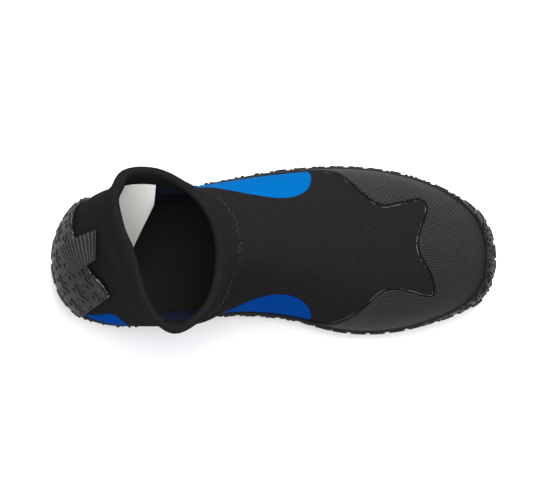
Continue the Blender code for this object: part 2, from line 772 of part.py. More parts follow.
def make_size_label(skin, material):
    """A bare label that hangs from the lower edge of the lateral hem, with its front corner cut away."""
    spread = range(LABEL_FIRST_RIB, LABEL_LAST_RIB + 1)
    slope = math.radians(LABEL_SLOPE_DEG)
    down = np.array([0.0, -math.cos(slope), -math.sin(slope)])
    upward = np.array([0.0, -math.sin(slope), math.cos(slope)])
    top_side, faces = [], []
    for r, length in zip(spread, np.linspace(LABEL_SHORT, LABEL_LONG, len(spread))):
        hem = rib_line(skin, r)[2][BODY_STEPS + HEM_FIRST_SHARE - 1]
        root = on_rib(skin, r, [hem - GLUE_GAP], -UPPER_WALL - GLUE_GAP - LABEL_WALL)[0]
        top_side += [root + share * length * down for share in np.linspace(0, 1, LABEL_STEPS + 1)]
    width = LABEL_STEPS + 1
    for row in range(0, (len(spread) - 1) * width, width):
        after = row + width
        faces += [(row + j, row + j + 1, after + j + 1, after + j) for j in range(LABEL_STEPS)]
    top_side = np.array(top_side)
    label = new_object("size_label", *shell(top_side, top_side - LABEL_WALL * upward, faces), material)
    turn_faces_out(label)
    return label


def centre_on_origin(things):
    """Moves the pieces so that their common box stands on the floor with its middle over the origin."""
    bpy.context.view_layer.update()
    corners = np.array([thing.matrix_world @ vertex.co for thing in things for vertex in thing.data.vertices])
    low, high = corners.min(axis=0), corners.max(axis=0)
    return Vector((-(low[0] + high[0]) / 2, -(low[1] + high[1]) / 2, -low[2]))


def main():
    for thing in list(bpy.data.objects):
        bpy.data.objects.remove(thing)
    rubber = make_material("black_rubber", (0.030, 0.030, 0.032), 0.60)
    neoprene = make_material("neoprene_jersey", (0.018, 0.017, 0.017), 0.85)
    cap_fabric = make_material("embossed_cap_fabric", (0.045, 0.045, 0.052), 0.75)
    foam = make_material("foot_bed_foam", (0.020, 0.020, 0.021), 0.90)
    webbing = make_material("ribbed_webbing", (0.026, 0.026, 0.027), 0.80)
    satin = make_material("label_satin", (0.62, 0.61, 0.58), 0.55)
    skin = upper_skin()
    pieces = [
        make_outsole(skin, rubber),
        make_upper(skin, neoprene),
        make_toe_cap(skin, cap_fabric),
        make_insole(skin, foam),
        make_pull_loop(skin, webbing),
        make_size_label(skin, satin),
    ]
    bootie = bpy.data.objects.new("bootie", None)
    bpy.context.scene.collection.objects.link(bootie)
    for thing in [*pieces, bpy.data.objects["toe_cap_cutter"]]:
        thing.parent = bootie
    bootie.location = centre_on_origin(pieces)


main()
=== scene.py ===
"""Looks of a low left-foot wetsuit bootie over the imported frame, as a Blender add-on that runs as a script.

Tables are in millimetres in the shoe's own frame: x from the heel to the toe, y to the lateral side, z up.
"""

import math
from collections import namedtuple
from functools import lru_cache

import bmesh
import bpy
import numpy as np
from bpy.props import FloatProperty, FloatVectorProperty, IntProperty, PointerProperty
from bpy.types import Operator, Panel, PropertyGroup
from mathutils import Matrix, Vector, noise
from mathutils.bvhtree import BVHTree


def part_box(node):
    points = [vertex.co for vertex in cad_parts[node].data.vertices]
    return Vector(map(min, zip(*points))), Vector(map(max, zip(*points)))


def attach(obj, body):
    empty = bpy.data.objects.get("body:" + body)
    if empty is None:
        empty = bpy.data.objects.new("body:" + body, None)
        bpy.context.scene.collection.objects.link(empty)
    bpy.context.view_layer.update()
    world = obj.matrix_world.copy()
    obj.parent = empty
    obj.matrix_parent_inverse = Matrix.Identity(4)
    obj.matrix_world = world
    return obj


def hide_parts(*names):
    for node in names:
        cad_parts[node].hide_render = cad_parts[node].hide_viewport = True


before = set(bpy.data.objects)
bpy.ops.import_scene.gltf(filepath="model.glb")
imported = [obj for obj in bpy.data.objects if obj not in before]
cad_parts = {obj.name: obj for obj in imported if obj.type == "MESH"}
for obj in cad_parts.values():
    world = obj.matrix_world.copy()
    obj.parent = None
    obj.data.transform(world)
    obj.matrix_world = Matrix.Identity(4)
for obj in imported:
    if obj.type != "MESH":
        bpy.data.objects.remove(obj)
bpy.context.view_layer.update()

bl_info = {
    "name": "Wetsuit bootie",
    "version": (1, 0, 0),
    "blender": (4, 5, 0),
    "location": "3D View > Sidebar > Bootie",
    "description": "Dresses a wetsuit bootie: neoprene upper, rubber sole, toe cap, webbing loop and label",
    "category": "Object",
}

MM = 0.001


def table(kind, *rows):
    """Rows of plain numbers as a table with named columns."""
    return tuple(kind(*row) for row in rows)


# Wall thicknesses and clearances
UPPER_WALL = 3.0
HEM_WALL = 4.6
GLUE_GAP = 0.4
SOLE_SHEET = 2.7
RAND_WALL = 2.2
INSOLE_WALL = 3.0
INSOLE_TUCK = 0.6
INSOLE_INSET = UPPER_WALL - INSOLE_TUCK
LABEL_WALL = 0.6

# Rounding of the rubber's and the foot bed's edges
SOLE_ROUNDING = 0.6
FOOT_BED_ROUNDING = 0.8
ROUNDING_SEGMENTS = 2
ROUNDING_ANGLE_DEG = 55

# Sole heights above the floor and the shape of its underside
LUG_HEIGHT = 1.3
FLOOR_HEIGHT = LUG_HEIGHT + SOLE_SHEET
FEATHER_HEIGHT = FLOOR_HEIGHT + GLUE_GAP
TOE_SPRING = 11.0
TOE_SPRING_START = 195.0
HEEL_LIFT = 1.5
HEEL_LIFT_END = 16.0
ARCH_RISE = 2.2
ARCH_MIDDLE = 112.0
ARCH_HALF_LENGTH = 42.0
ARCH_HALF_WIDTH = 30.0

# The feather line, where the upper meets the sole, from the heel back to the toe tip
Feather = namedtuple("Feather", "along lateral medial")
FEATHER_LINE = table(
    Feather,
    (0, 0, 0), (8, 23, 28.5), (30, 34.5, 37.8), (68, 39, 37), (110, 49, 33), (150, 56, 36),
    (188, 59, 45.5), (212, 57.5, 46.5), (240, 51.5, 42), (264, 41, 34.5), (280, 29.5, 26), (289, 0, 0),
)

# The top line of the vamp: each rib that starts at foot_along on the feather line ends here
Ridge = namedtuple("Ridge", "foot_along along height across")
VAMP_RIDGE = table(
    Ridge,
    (118, 104, 86, 1), (150, 142, 69, -1), (190, 186, 55.5, 0), (230, 223, 47.5, 2), (264, 247, 42, 1),
    (289, 258, 38.5, 0),
)

# How each rib leaves the feather line (lean out from upright) and how far its two ends pull its curve
Rib = namedtuple("Rib", "along lean lower_pull upper_pull")
RIB_SHAPE = table(
    Rib,
    (0, 24, 0.45, 0.26), (30, 20, 0.45, 0.26), (70, 17, 0.45, 0.32), (118, 15, 0.45, 0.45),
    (190, 10, 0.55, 0.55), (250, 2, 0.55, 0.58), (289, -14, 0.50, 0.58),
)
TOE_FAN_RIBS = 7
TOE_RIDGE_SLOPE = 0.45

# The ankle collar, from its front round the lateral side to its back (turn 1) and on by the medial side: the
# loop at its base, its rim, and the angles at which the wall reaches each: level inwards is 0, upright is 90
Collar = namedtuple(
    "Collar", "turn base_along base_across base_height base_rise rim_along rim_across rim_height rim_rise"
)
COLLAR_LOOP = table(
    Collar,
    (0.00, 105, 1, 85.5, 32, 92.5, 2, 97, 46),
    (0.25, 96, 34, 73, 66, 81.5, 31, 97, 52),
    (0.50, 64, 41, 70, 95, 56, 50, 96, 114),
    (0.75, 25, 39.5, 68, 82, 29.5, 45.5, 98, 98),
    (1.00, 16, 4, 68, 78, 35, 9, 100, 62),
    (1.25, 36, -30, 68, 85, 46, -34, 97, 92),
    (1.50, 64, -44.5, 70, 98, 65, -51, 94, 114),
    (1.75, 97, -33, 73, 66, 86.5, -33, 96, 58),
)
FULL_TURN = 2.0
COLLAR_MIDDLE = (59.5, 0.0)
COLLAR_SHARES = (0.0, 0.28, 0.52, 0.57, 0.80, 1.0)
HEM_FIRST_SHARE = 3
COLLAR_LOWER_PULL = 0.40
COLLAR_UPPER_PULL = 0.35
THROAT_BLEND = 0.45
COLLAR_REACH = 0.75

# Height of the rubber band above the feather line, measured up the wall
Band = namedtuple("Band", "along height")
RAND_HEIGHT = table(Band, (0, 9), (70, 8), (130, 8.5), (230, 9), (268, 12), (289, 16.5))
RAND_TUCK = 3.0

# The heel flap that rises from the band: its first and last rib at the band, counted from the heel back with
# the lateral side below 0, and its top edge across from the lateral to the medial front edge
FLAP_GAP = 0.6
FLAP_FIRST_RIB = -3.75
FLAP_LAST_RIB = 3.5
FlapTop = namedtuple("FlapTop", "share rib height")
FLAP_TOP = table(
    FlapTop,
    (0.00, -3.65, 21.5), (0.14, -2.74, 30.0), (0.26, -2.00, 38.0), (0.42, -0.85, 47.0),
    (0.55, 0.00, 52.5), (0.68, 0.80, 57.0), (0.80, 1.40, 60.5), (0.91, 2.00, 65.0), (1.00, 2.62, 62.5),
)

# Rear edge of the toe cap on the unrolled vamp, with a point at each side and hollows between: turn is the
# angle to the lateral side round a lengthwise axis under the floor
Edge = namedtuple("Edge", "along turn")
CAP_EDGE_LATERAL = table(
    Edge,
    (151.5, 75), (153.5, 63), (157.5, 57.5), (164, 55.6), (172, 53.2), (179.5, 49.6), (189.7, 38.7),
    (195.4, 33.3), (201.6, 29), (208.2, 27.2),
)
CAP_EDGE_FRONT = table(
    Edge,
    (208.2, 27.2), (215.4, 29.1), (222.7, 31.1), (230.2, 33.6), (234.7, 34.5), (237.8, 33), (238.7, 30),
    (236.5, 23), (231.9, 13.4), (230, 5.9), (231.2, 1), (234.8, -4.3), (239.7, -11.5), (242.3, -19.1),
    (242.8, -25.6),
)
CAP_EDGE_MEDIAL = table(
    Edge,
    (242.8, -25.6), (235.7, -24.6), (228.2, -22), (220.9, -20.2), (213.8, -18.9), (208, -19.2),
    (203.7, -21.2), (197.5, -26.3), (188.9, -34.3), (177.8, -44), (168, -55), (160, -68),
)
CAP_EDGE_STEPS = 10
CAP_AXIS_HEIGHT = -20.0
CAP_FRONT = 330.0
CAP_SIDE_TURN = 110.0
CAP_DEGREE = 1.15
CAP_REAR = 146.0
CAP_TUCK = 1.5
CAP_ROUNDING = (0.0, 0.3, 0.9)
CAP_SEAT = 0.15
CAP_MARGIN = 4.0
WEAVE_SLANT = 0.14

# Pull loop: its centre line out from the heel seam, from the upper root round the fold to the lower root
Fold = namedtuple("Fold", "share out up")
PULL_LOOP = table(
    Fold,
    (0.00, -0.8, 3.6), (0.15, 6.0, 4.4), (0.30, 11.8, 1.6), (0.42, 16.6, -4.0), (0.50, 18.6, -9.0),
    (0.58, 16.8, -12.0), (0.70, 11.8, -8.0), (0.85, 5.8, -4.0), (1.00, 2.3, -3.6),
)
LOOP_WIDTH = 18.5
LOOP_WALL = 1.4
LOOP_ROOT_HEIGHT = 71.0
LOOP_ROOT_CLEAR = 0.3
LOOP_LEAN_DEG = 26.0
LOOP_TWIST_DEG = 26.0
LOOP_STEPS = 190
LOOP_ACROSS = 18
LOOP_EDGE_POWER = 14

# Bare label sewn in under the lateral hem: the ribs that it spans, and how it hangs free into the shoe
LABEL_FIRST_RIB = 26
LABEL_LAST_RIB = 29
LABEL_SHORT = 17.0
LABEL_LONG = 78.0
LABEL_FULL_SHARE = 0.52
LABEL_SLOPE_DEG = 48.0
LABEL_STEPS = 26
LABEL_CURL = 1.1
LABEL_WAVES = 1.1
LABEL_SHEET = 0.35

# Mesh fineness of the skin
FORE_RIBS = 19
REAR_RIBS = 13
RIBS = FORE_RIBS + REAR_RIBS
ROUND_RIBS = 2 * RIBS
BODY_STEPS = 10
CURVE_SAMPLES = 2000
FAIRING_ROUNDS = 14
FAIRING_SHRINK = 0.50
FAIRING_SWELL = -0.53
SKIN_LEVEL = 2
FIT_ROUNDS = 2
FIT_SHARE = 0.9
RIB_SAMPLES = 161
RIB_PARTS = 4
COLUMN_RIBS = np.arange(ROUND_RIBS * RIB_PARTS) / RIB_PARTS
BAND_ROWS = 5
FLAP_ROWS = 22
FLAP_EDGE_STEPS = 24
ROLL_ROWS = 8
SHEET_COLUMNS = 14
TINY = 1e-9

LATERAL, MEDIAL = 1, -1

# A point of the upper whose mark "inner" is below this lies on the outer face
OUTER_MARK = 0.01

# Edges of the blue side panels: place along the shoe and height up the wall, from the toe end to the heel end
Seam = namedtuple("Seam", "along height")
LATERAL_PANEL = table(
    Seam,
    (160.5, -4), (162.5, 20), (161.6, 33), (157.3, 45), (148.6, 53), (138, 56.7), (127, 57), (115, 55),
    (103, 50.5), (88, 50), (72, 50), (54, 50), (38, 49), (28, 45), (20, 35), (15, 20), (12, -4),
)
MEDIAL_PANEL = table(
    Seam,
    (160, -4), (162.5, 14), (161, 29), (155.7, 40.4), (148, 48), (139, 51.6), (127, 50.7), (117, 45),
    (108, 35), (98, 26), (84, 22), (66, 21), (52, 23), (43.5, 31), (37.5, 42), (33, 47.5), (28.5, 44.5),
    (22.5, 35), (15, 22), (10, -4),
)
PANEL_SAMPLES = 90

# How much higher the blue reaches on the lining, round the middle of the ankle, and how far painted shade
# darkens the inner faces towards black, less so on the medial side
Lining = namedtuple("Lining", "rise along spread")
LINING_FOOT = 40.0
LATERAL_LINING = Lining(27.0, 70.0, 34.0)
MEDIAL_LINING = Lining(62.0, 70.0, 19.0)
INNER_SHADE_COVER = 0.94
MEDIAL_SHADE_LOSS = 0.18

# Where the slack collar leans out of round: a push, how far it reaches, and whether the lining alone takes it
Lean = namedtuple("Lean", "push width lining_only line")
COLLAR_LEANS = (
    Lean((-4.2, 0.6, 0.0), 11.0, False, ((30.5, 28.0, 98.0), (33.5, 14.0, 98.0))),
    Lean((3.0, -1.5, 0.0), 8.0, True, ((27.5, 47.0, 97.0), (29.0, 40.0, 97.0))),
)

# Soft folds of the slack neoprene, as lines near the skin: depth is how far the trough sinks
Crease = namedtuple("Crease", "depth width line")
CREASES = (
    Crease(0.7, 1.5, ((24.6, 11.2, 85.0), (29.0, 11.4, 92.0), (34.0, 11.4, 99.0))),
    Crease(0.6, 2.4, ((30.0, -0.7, 89.4), (37.9, -18.9, 90.7), (43.3, -32.6, 83.2), (49.5, -40.0, 68.0))),
    Crease(-0.5, 2.6, ((26.5, -1.0, 84.5), (33.0, -19.0, 84.5), (38.5, -32.0, 76.0))),
    Crease(0.8, 6.0, ((101.0, 30.0, 68.0), (90.0, 39.0, 56.0), (76.0, 43.0, 42.0))),
    Crease(0.8, 6.0, ((100.0, -25.0, 71.0), (91.0, -36.0, 56.0), (80.0, -40.0, 42.0))),
    Crease(0.5, 5.0, ((112.0, 22.0, 72.0), (117.0, 1.0, 80.0), (113.0, -19.0, 72.0))),
    Crease(-0.4, 6.0, ((122.0, 24.0, 67.0), (128.0, 0.0, 75.0), (123.0, -22.0, 66.0))),
    Crease(0.5, 3.5, ((25.0, 21.0, 71.0), (18.0, 10.0, 76.0), (20.0, -8.0, 78.0), (29.0, -24.0, 74.0))),
)
CREASE_SAMPLES = 24

# Zigzag seam over the instep in front of the collar, from the lateral to the medial side
HEM_SEAM = (
    (94.2, 34.8, 73.7), (99.0, 28.5, 76.8), (103.4, 21.8, 78.8), (105.7, 9.0, 83.8), (106.0, 0.0, 84.6),
    (103.8, -10.5, 83.7), (99.8, -20.6, 83.2), (95.5, -30.0, 79.5), (91.3, -36.3, 76.7),
)
SEAM_SAMPLES = 60

# Depth and width of the seam's pinch, and height, distance from the rim and width of the hem's roll
SEAM_PINCH = (0.35, 1.6)
HEM_ROLL = (0.45, 7.0, 3.0)

# Uneven swell of the slack skin: free above the glued edge, and held under the heel flap
SLACK_HEIGHT = 0.45
SLACK_LENGTH = 34.0
SLACK_RISE = (14.0, 30.0)
HELD_BACK = (30.0, 44.0)
HELD_TOP = (62.0, 74.0)

# How far the upper's marks count, and the specks of dust on it
MARK_REACH = 20.0
DUST_SPACING = 8.0
DUST_DOT = 0.05

# Size of a plain cloth's dim clouds against its grain
CLOUD_SPREAD = 24

# One lug of the tread: bent arms with a dot between each two. A section runs from the foot to the middle, as
# shares of the half width and of the height, and a foot below 0 is a depth in the rubber
LUG_ARMS = 3
LUG_CURVE_DEG = 18.0
LUG_CURVE_POWER = 1.5
LUG_TAPER = 0.78
LUG_END_CUT = 0.75
LUG_END_POWER = 8
LUG_ARM_STEPS = 6
LUG_SINK = 0.6
LUG_SECTION = ((1.25, -LUG_SINK), (1.0, 0.62), (0.55, 1.0))
SOFT_SECTION = ((2.1, -LUG_SINK), (0.9, 0.60), (0.35, 1.0))
DOT_SIDES = 9
DOT_PLACE = 0.74
DOT_SECTION = ((1.3, -LUG_SINK), (1.0, 0.45), (0.62, 0.88), (0.25, 1.0))

# Layout of the tread: its grids, its trimmed edges and its lower relief on the walls
LUG_REACH = 7.0
SIDE_RELIEF = 0.70
FLAP_RELIEF = 0.55
BAND_TRIM = 0.3
FLAP_TRIM = 0.5
SOLE_SHIFT = (0.0, 6.0)
FLAP_SHIFT = (0.0, 4.0)
FLAP_WIDTH = 90.0
CUT_SLACK = 1e-4

# Zigzag thread over the seam
STITCH_POINTS = 4
THREAD_SIDES = 6
THREAD_RISE = 0.16
THREAD_DIP = 0.02

# Dried glue specks: the shape of one, how they differ, and how they lie along the flap's edge
SPECK_SIDES = 7
SPECK_FOOT = -0.5
SPECK_SHOULDER = 0.8
SPECK_SHOULDER_HEIGHT = 0.35
SPECK_CROWN = 0.6
SPECK_SEED = 11
SPECK_SIZES = (0.10, 0.26)
SPECK_STRETCH = (0.8, 2.2)
SPECK_STRAY = 0.20
SPECK_REACH = (1.6, 2.8)
SPECK_HEIGHT = 1.008
SPECK_GAPS = 9.0
SPECK_SPREAD = -0.22

# Camera as in the photograph, in metres: from above, tilted to the heel and a little to the medial side
CAMERA_TILT_DEG = 10.0
CAMERA_ROLL_DEG = 4.0
CAMERA_DISTANCE = 1.1
CAMERA_TARGET = (-0.0056, -0.0010, 0.030)
CAMERA_SENSOR = 36.0
IMAGE_WIDTH = 548
METRES_PER_PIXEL = 0.0006517

# Soft lights and sky, in metres and watts, and the floor
Lamp = namedtuple("Lamp", "name place size power")
LAMPS = (
    Lamp("key", (0.15, 1.1, 1.25), 1.2, 34.0),
    Lamp("fill", (-0.5, -1.4, 0.9), 1.6, 9.0),
    Lamp("top", (-0.1, 0.1, 1.7), 1.6, 20.0),
)
LAMP_AIM = (0.0, 0.0, 0.04)
SKY = 0.70
FLOOR_HALF = 3.0
FLOOR_PATCH = 300.0
FLOOR_SHADE = 0.99

# Sockets of the mix node for colours, whose names it shares with its sockets for other kinds
MIX_SHARE, MIX_FIRST, MIX_SECOND, MIX_RESULT = 0, 6, 7, 2

Skin = namedtuple("Skin", "points normals faces where")


def smooth(stations, values, at):
    """Values at `at` on a smooth curve through rising stations, held level past both ends."""
    stations = np.asarray(stations, float)
    values = np.asarray(values, float)
    slopes = np.gradient(values, stations)
    at = np.clip(np.asarray(at, float), stations[0], stations[-1])
    i = np.clip(np.searchsorted(stations, at) - 1, 0, len(stations) - 2)
    step = stations[i + 1] - stations[i]
    t = (at - stations[i]) / step
    rise = values[i + 1] - values[i]
    first, last = slopes[i] * step, slopes[i + 1] * step
    return values[i] + t * (first + t * (3 * rise - 2 * first - last + t * (first + last - 2 * rise)))


def column(rows, name):
    return [getattr(row, name) for row in rows]


def lookup(rows, key, name, at):
    """Column `name` of a table, read smoothly at a value of its column `key`."""
    return smooth(column(rows, key), column(rows, name), at)


def unit(vectors):
    return vectors / np.linalg.norm(vectors, axis=-1, keepdims=True)


def ease(values, low, high):
    """0 below low, 1 above high and a soft step between."""
    t = np.clip((np.asarray(values, float) - low) / (high - low), 0, 1)
    return t * t * (3 - 2 * t)


def bell(distance, width):
    return np.exp(-((distance / width) ** 2))


def lengths_along(points):
    """Distance of each point from the first, along the line."""
    steps = np.linalg.norm(np.diff(points, axis=0), axis=1)
    return np.concatenate([[0.0], np.cumsum(steps)])


def read_line(points, run, at):
    """Points of a line at distances `at`, where `run` holds the distance of each given point."""
    return np.column_stack([np.interp(at, run, points[:, axis]) for axis in range(points.shape[1])])


def smooth_line(points, run, at):
    """Points at distances `at` on a smooth curve through points, where `run` holds the distance of each."""
    return np.column_stack([smooth(run, points[:, axis], at) for axis in range(points.shape[1])])


def curve_through(points, count):
    """Points evenly spaced on a smooth curve through a few given ones."""
    points = np.asarray(points, float)
    run = lengths_along(points)
    return smooth_line(points, run, np.linspace(0, run[-1], count))


def resample(points, count):
    """count + 1 points evenly spaced along a line of points."""
    run = lengths_along(points)
    return read_line(points, run, np.linspace(0, run[-1], count + 1))


def bezier(start, start_pull, end_pull, end, t):
    t = np.asarray(t)[:, None]
    rest = 1 - t
    return rest**3 * start + 3 * rest**2 * t * start_pull + 3 * rest * t**2 * end_pull + t**3 * end


def rising(inward, degrees):
    """A direction that starts level inwards and turns up, and past 90 degrees leans out."""
    angle = math.radians(degrees)
    return math.cos(angle) * inward + math.sin(angle) * np.array([0.0, 0.0, 1.0])


def sole_rise(along, across):
    """How far the sole curves up from the floor: toe spring, heel lift and the arch on the medial side."""
    spring = np.clip((along - TOE_SPRING_START) / (FEATHER_LINE[-1].along - TOE_SPRING_START), 0, None)
    heel = np.clip((HEEL_LIFT_END - along) / HEEL_LIFT_END, 0, None)
    arch = np.clip(1 - ((along - ARCH_MIDDLE) / ARCH_HALF_LENGTH) ** 2, 0, None) ** 2
    medial_share = np.clip(0.5 - 0.5 * across / ARCH_HALF_WIDTH, 0, 1)
    return TOE_SPRING * spring**2 + HEEL_LIFT * heel**2 + ARCH_RISE * arch * medial_share


def feather_half(side):
    """RIBS + 1 points (x, y) of the feather line on one side, from the toe tip to the heel back."""
    toe_to_heel = FEATHER_LINE[::-1]
    near = [(row.along, row.lateral if side == LATERAL else -row.medial) for row in toe_to_heel]
    far = [(row.along, -row.medial if side == LATERAL else row.lateral) for row in toe_to_heel]
    points = np.array(far[2:0:-1] + near + far[-2:-4:-1], float)
    run = lengths_along(points)
    dense = smooth_line(points, run, np.linspace(run[2], run[-3], CURVE_SAMPLES))
    throat = int(np.argmin(np.abs(dense[:, 0] - VAMP_RIDGE[0].foot_along)))
    fore = resample(dense[: throat + 1], FORE_RIBS)
    rear = resample(dense[throat:], REAR_RIBS)
    return np.vstack([fore, rear[1:]])


def outward_at(feet, k, side):
    """Level direction out of the foot at rib k."""
    if k == 0:
        return np.array([1.0, 0.0, 0.0])
    if k == RIBS:
        return np.array([-1.0, 0.0, 0.0])
    tangent = feet[k + 1] - feet[k - 1]
    return unit(np.array([tangent[1], -tangent[0], 0.0])) * side


def collar_at(side, turn):
    """The collar's row at a turn from its front to its back on one side, read from the closed loop."""
    around = turn if side == LATERAL else FULL_TURN - turn
    rows = COLLAR_LOOP * 3
    turns = [row.turn + lap for lap in (-FULL_TURN, 0, FULL_TURN) for row in COLLAR_LOOP]
    return Collar(turn, *(float(smooth(turns, column(rows, name), around)) for name in Collar._fields[1:]))


def rib_of(side, k, feet, ridge_foot):
    """The points up rib k: from the feather line to the vamp's ridge, or on to the collar's rim."""
    foot = np.array([*feet[k], FEATHER_HEIGHT + sole_rise(*feet[k])])
    lean, lower_pull, upper_pull = (
        float(lookup(RIB_SHAPE, "along", name, foot[0])) for name in ("lean", "lower_pull", "upper_pull")
    )
    start_way = rising(-outward_at(feet, k, side), 90 + lean)
    over_ridge = np.array([0.0, -side, 0.0])
    if k < FORE_RIBS:
        names = "along", "across", "height"
        top = np.array([lookup(VAMP_RIDGE, "foot_along", name, ridge_foot[k]) for name in names])
        toe_share = max(0.0, 1 - k / TOE_FAN_RIBS)
        end_way = unit((1 - toe_share) * over_ridge + toe_share * np.array([-1.0, 0.0, TOE_RIDGE_SLOPE]))
        reach = np.linalg.norm((top - foot)[:2])
    else:
        row = collar_at(side, (k - FORE_RIBS) / REAR_RIBS)
        top = np.array([row.base_along, row.base_across, row.base_height])
        rim = np.array([row.rim_along, row.rim_across, row.rim_height])
        middle = np.array([*COLLAR_MIDDLE, row.base_height])
        inward = unit(middle - top)
        collar_way = rising(inward, row.base_rise)
        blend = float(smooth((0, THROAT_BLEND, 1), (0, 1, 1), row.turn))
        end_way = unit((1 - blend) * over_ridge + blend * collar_way)
        level_reach, full_reach = np.linalg.norm((top - foot)[:2]), np.linalg.norm(top - foot)
        reach = (1 - blend) * level_reach + blend * COLLAR_REACH * full_reach
    lower = foot + lower_pull * (top - foot)[2] * start_way
    body = bezier(foot, lower, top - upper_pull * reach * end_way, top, np.linspace(0, 1, BODY_STEPS + 1))
    if k < FORE_RIBS:
        return body
    span = np.linalg.norm(rim - top)
    rim_pull = rim - COLLAR_UPPER_PULL * span * rising(inward, row.rim_rise)
    collar = bezier(top, top + COLLAR_LOWER_PULL * span * collar_way, rim_pull, rim, COLLAR_SHARES)
    return np.vstack([body, collar[1:]])


def upper_ribs():
    """All ribs round the bootie, from the toe by the lateral side to the heel and back by the medial side."""
    halves = {side: feather_half(side) for side in (LATERAL, MEDIAL)}
    ridge_foot = (halves[LATERAL][:, 0] + halves[MEDIAL][:, 0]) / 2
    lateral = [rib_of(LATERAL, k, halves[LATERAL], ridge_foot) for k in range(RIBS + 1)]
    medial = [rib_of(MEDIAL, k, halves[MEDIAL], ridge_foot) for k in range(RIBS - 1, 0, -1)]
    return lateral + medial


def joined_key(r, j):
    """One name for the points that a lateral and a medial rib share on the ridge and the collar's front."""
    k = min(r, ROUND_RIBS - r)
    return (k, j) if k <= FORE_RIBS and j >= BODY_STEPS else (r, j)


def weld_ribs(ribs):
    """Points, quads and the index of each rib point, with the two sides joined along the ridge."""
    where, points, faces = {}, [], []
    for r, rib in enumerate(ribs):
        for j, point in enumerate(rib):
            key = joined_key(r, j)
            if key not in where:
                where[key] = len(points)
                points.append(point)
    for r in range(ROUND_RIBS):
        after = (r + 1) % ROUND_RIBS
        for j in range(min(len(ribs[r]), len(ribs[after])) - 1):
            corners = (r, j), (after, j), (after, j + 1), (r, j + 1)
            faces.append(tuple(where[joined_key(*corner)] for corner in corners))
    return np.array(points), faces, where


def border_edges(faces):
    """Edges, in their face's direction, that only one face has."""
    edges = [(face[i], face[(i + 1) % len(face)]) for face in faces for i in range(len(face))]
    present = set(edges)
    return [edge for edge in edges if edge[::-1] not in present]


def fair(points, faces):
    """Points with the kinks between ribs smoothed out and the border left where it is."""
    links = {tuple(sorted((face[i], face[(i + 1) % 4]))) for face in faces for i in range(4)}
    ends = np.array(sorted(links))
    held = np.unique(np.array(border_edges(faces)))
    count = np.bincount(ends.ravel(), minlength=len(points))[:, None]
    for weight in (FAIRING_SHRINK, FAIRING_SWELL) * FAIRING_ROUNDS:
        total = np.zeros_like(points)
        np.add.at(total, ends[:, 0], points[ends[:, 1]])
        np.add.at(total, ends[:, 1], points[ends[:, 0]])
        moved = points + weight * (total / count - points)
        moved[held] = points[held]
        points = moved
    return points


def vertex_normals(points, faces):
    corners = np.array(faces)
    first, second, third, fourth = (points[corners[:, i]] for i in range(4))
    across = np.cross(third - first, fourth - second)
    normals = np.zeros_like(points)
    for i in range(4):
        np.add.at(normals, corners[:, i], across)
    return unit(normals)


@lru_cache(maxsize=None)
def upper_skin():
    """The outer face of the upper, with level normals along the feather line."""
    points, faces, where = weld_ribs(upper_ribs())
    points = fair(points, faces)
    normals = vertex_normals(points, faces)
    for r in range(ROUND_RIBS):
        foot = where[(r, 0)]
        normals[foot, 2] = 0
    return Skin(points, unit(normals), faces, where)


@lru_cache(maxsize=None)
def shift():
    """From the tables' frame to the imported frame, in millimetres, read from the upper's own box."""
    low = np.array(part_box("upper")[0]) / MM
    return low - upper_skin().points.min(axis=0)


def placed(points):
    """Points of the tables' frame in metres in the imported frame."""
    return (np.asarray(points, float) + shift()) * MM


def rib_line(r):
    """Points, normals and running lengths of one rib."""
    skin = upper_skin()
    steps = [j for j in range(BODY_STEPS + len(COLLAR_SHARES)) if joined_key(r, j) in skin.where]
    rows = [skin.where[joined_key(r, j)] for j in steps]
    points = skin.points[rows]
    return points, skin.normals[rows], lengths_along(points)


@lru_cache(maxsize=None)
def fine_ribs():
    """Every rib as a dense smooth line: heights, points and normals."""
    lines = []
    for r in range(ROUND_RIBS):
        points, normals, run = rib_line(r)
        at = np.linspace(0, run[-1], RIB_SAMPLES)
        lines.append((at, smooth_line(points, run, at), unit(smooth_line(normals, run, at))))
    return lines


def on_skin(ribs, heights, offset=0.0):
    """Points and normals of the skin at any rib numbers and heights up the wall, moved out by offset."""
    ribs, heights = np.broadcast_arrays(np.asarray(ribs, float), np.asarray(heights, float))
    base = np.floor(ribs).astype(int)
    t = ribs - base
    weights = {
        -1: (-(t**3) + 2 * t**2 - t) / 2,
        0: (3 * t**3 - 5 * t**2 + 2) / 2,
        1: (-3 * t**3 + 4 * t**2 + t) / 2,
        2: (t**3 - t**2) / 2,
    }
    points = np.zeros((*ribs.shape, 3))
    normals = np.zeros((*ribs.shape, 3))
    for step, weight in weights.items():
        near = (base + step) % ROUND_RIBS
        for r in np.unique(near):
            here = near == r
            run, line, ways = fine_ribs()[r]
            points[here] += weight[here][:, None] * read_line(line, run, heights[here])
            normals[here] += weight[here][:, None] * read_line(ways, run, heights[here])
    normals = unit(normals)
    return points + normals * np.asarray(offset, float)[..., None], normals


def wall_foot(ribs):
    """Points of the feather line at rib numbers, and the level ways out from them."""
    base, out = on_skin(ribs, np.zeros(len(ribs)))
    out[:, 2] = 0
    return base, unit(out)


def band_top(ribs):
    """Height of the rubber band's top edge at rib numbers."""
    feet, _ = on_skin(ribs, np.zeros_like(np.asarray(ribs, float)))
    return lookup(RAND_HEIGHT, "along", "height", feet[..., 0])


def inside(loop, points):
    """Which points lie inside a closed loop in a plane."""
    hits = np.zeros(len(points), bool)
    for a, b in zip(loop, np.roll(loop, -1, axis=0)):
        spans = (a[1] > points[:, 1]) != (b[1] > points[:, 1])
        rise = b[1] - a[1] if b[1] != a[1] else 1.0
        hits ^= spans & (points[:, 0] < a[0] + (points[:, 1] - a[1]) * (b[0] - a[0]) / rise)
    return hits


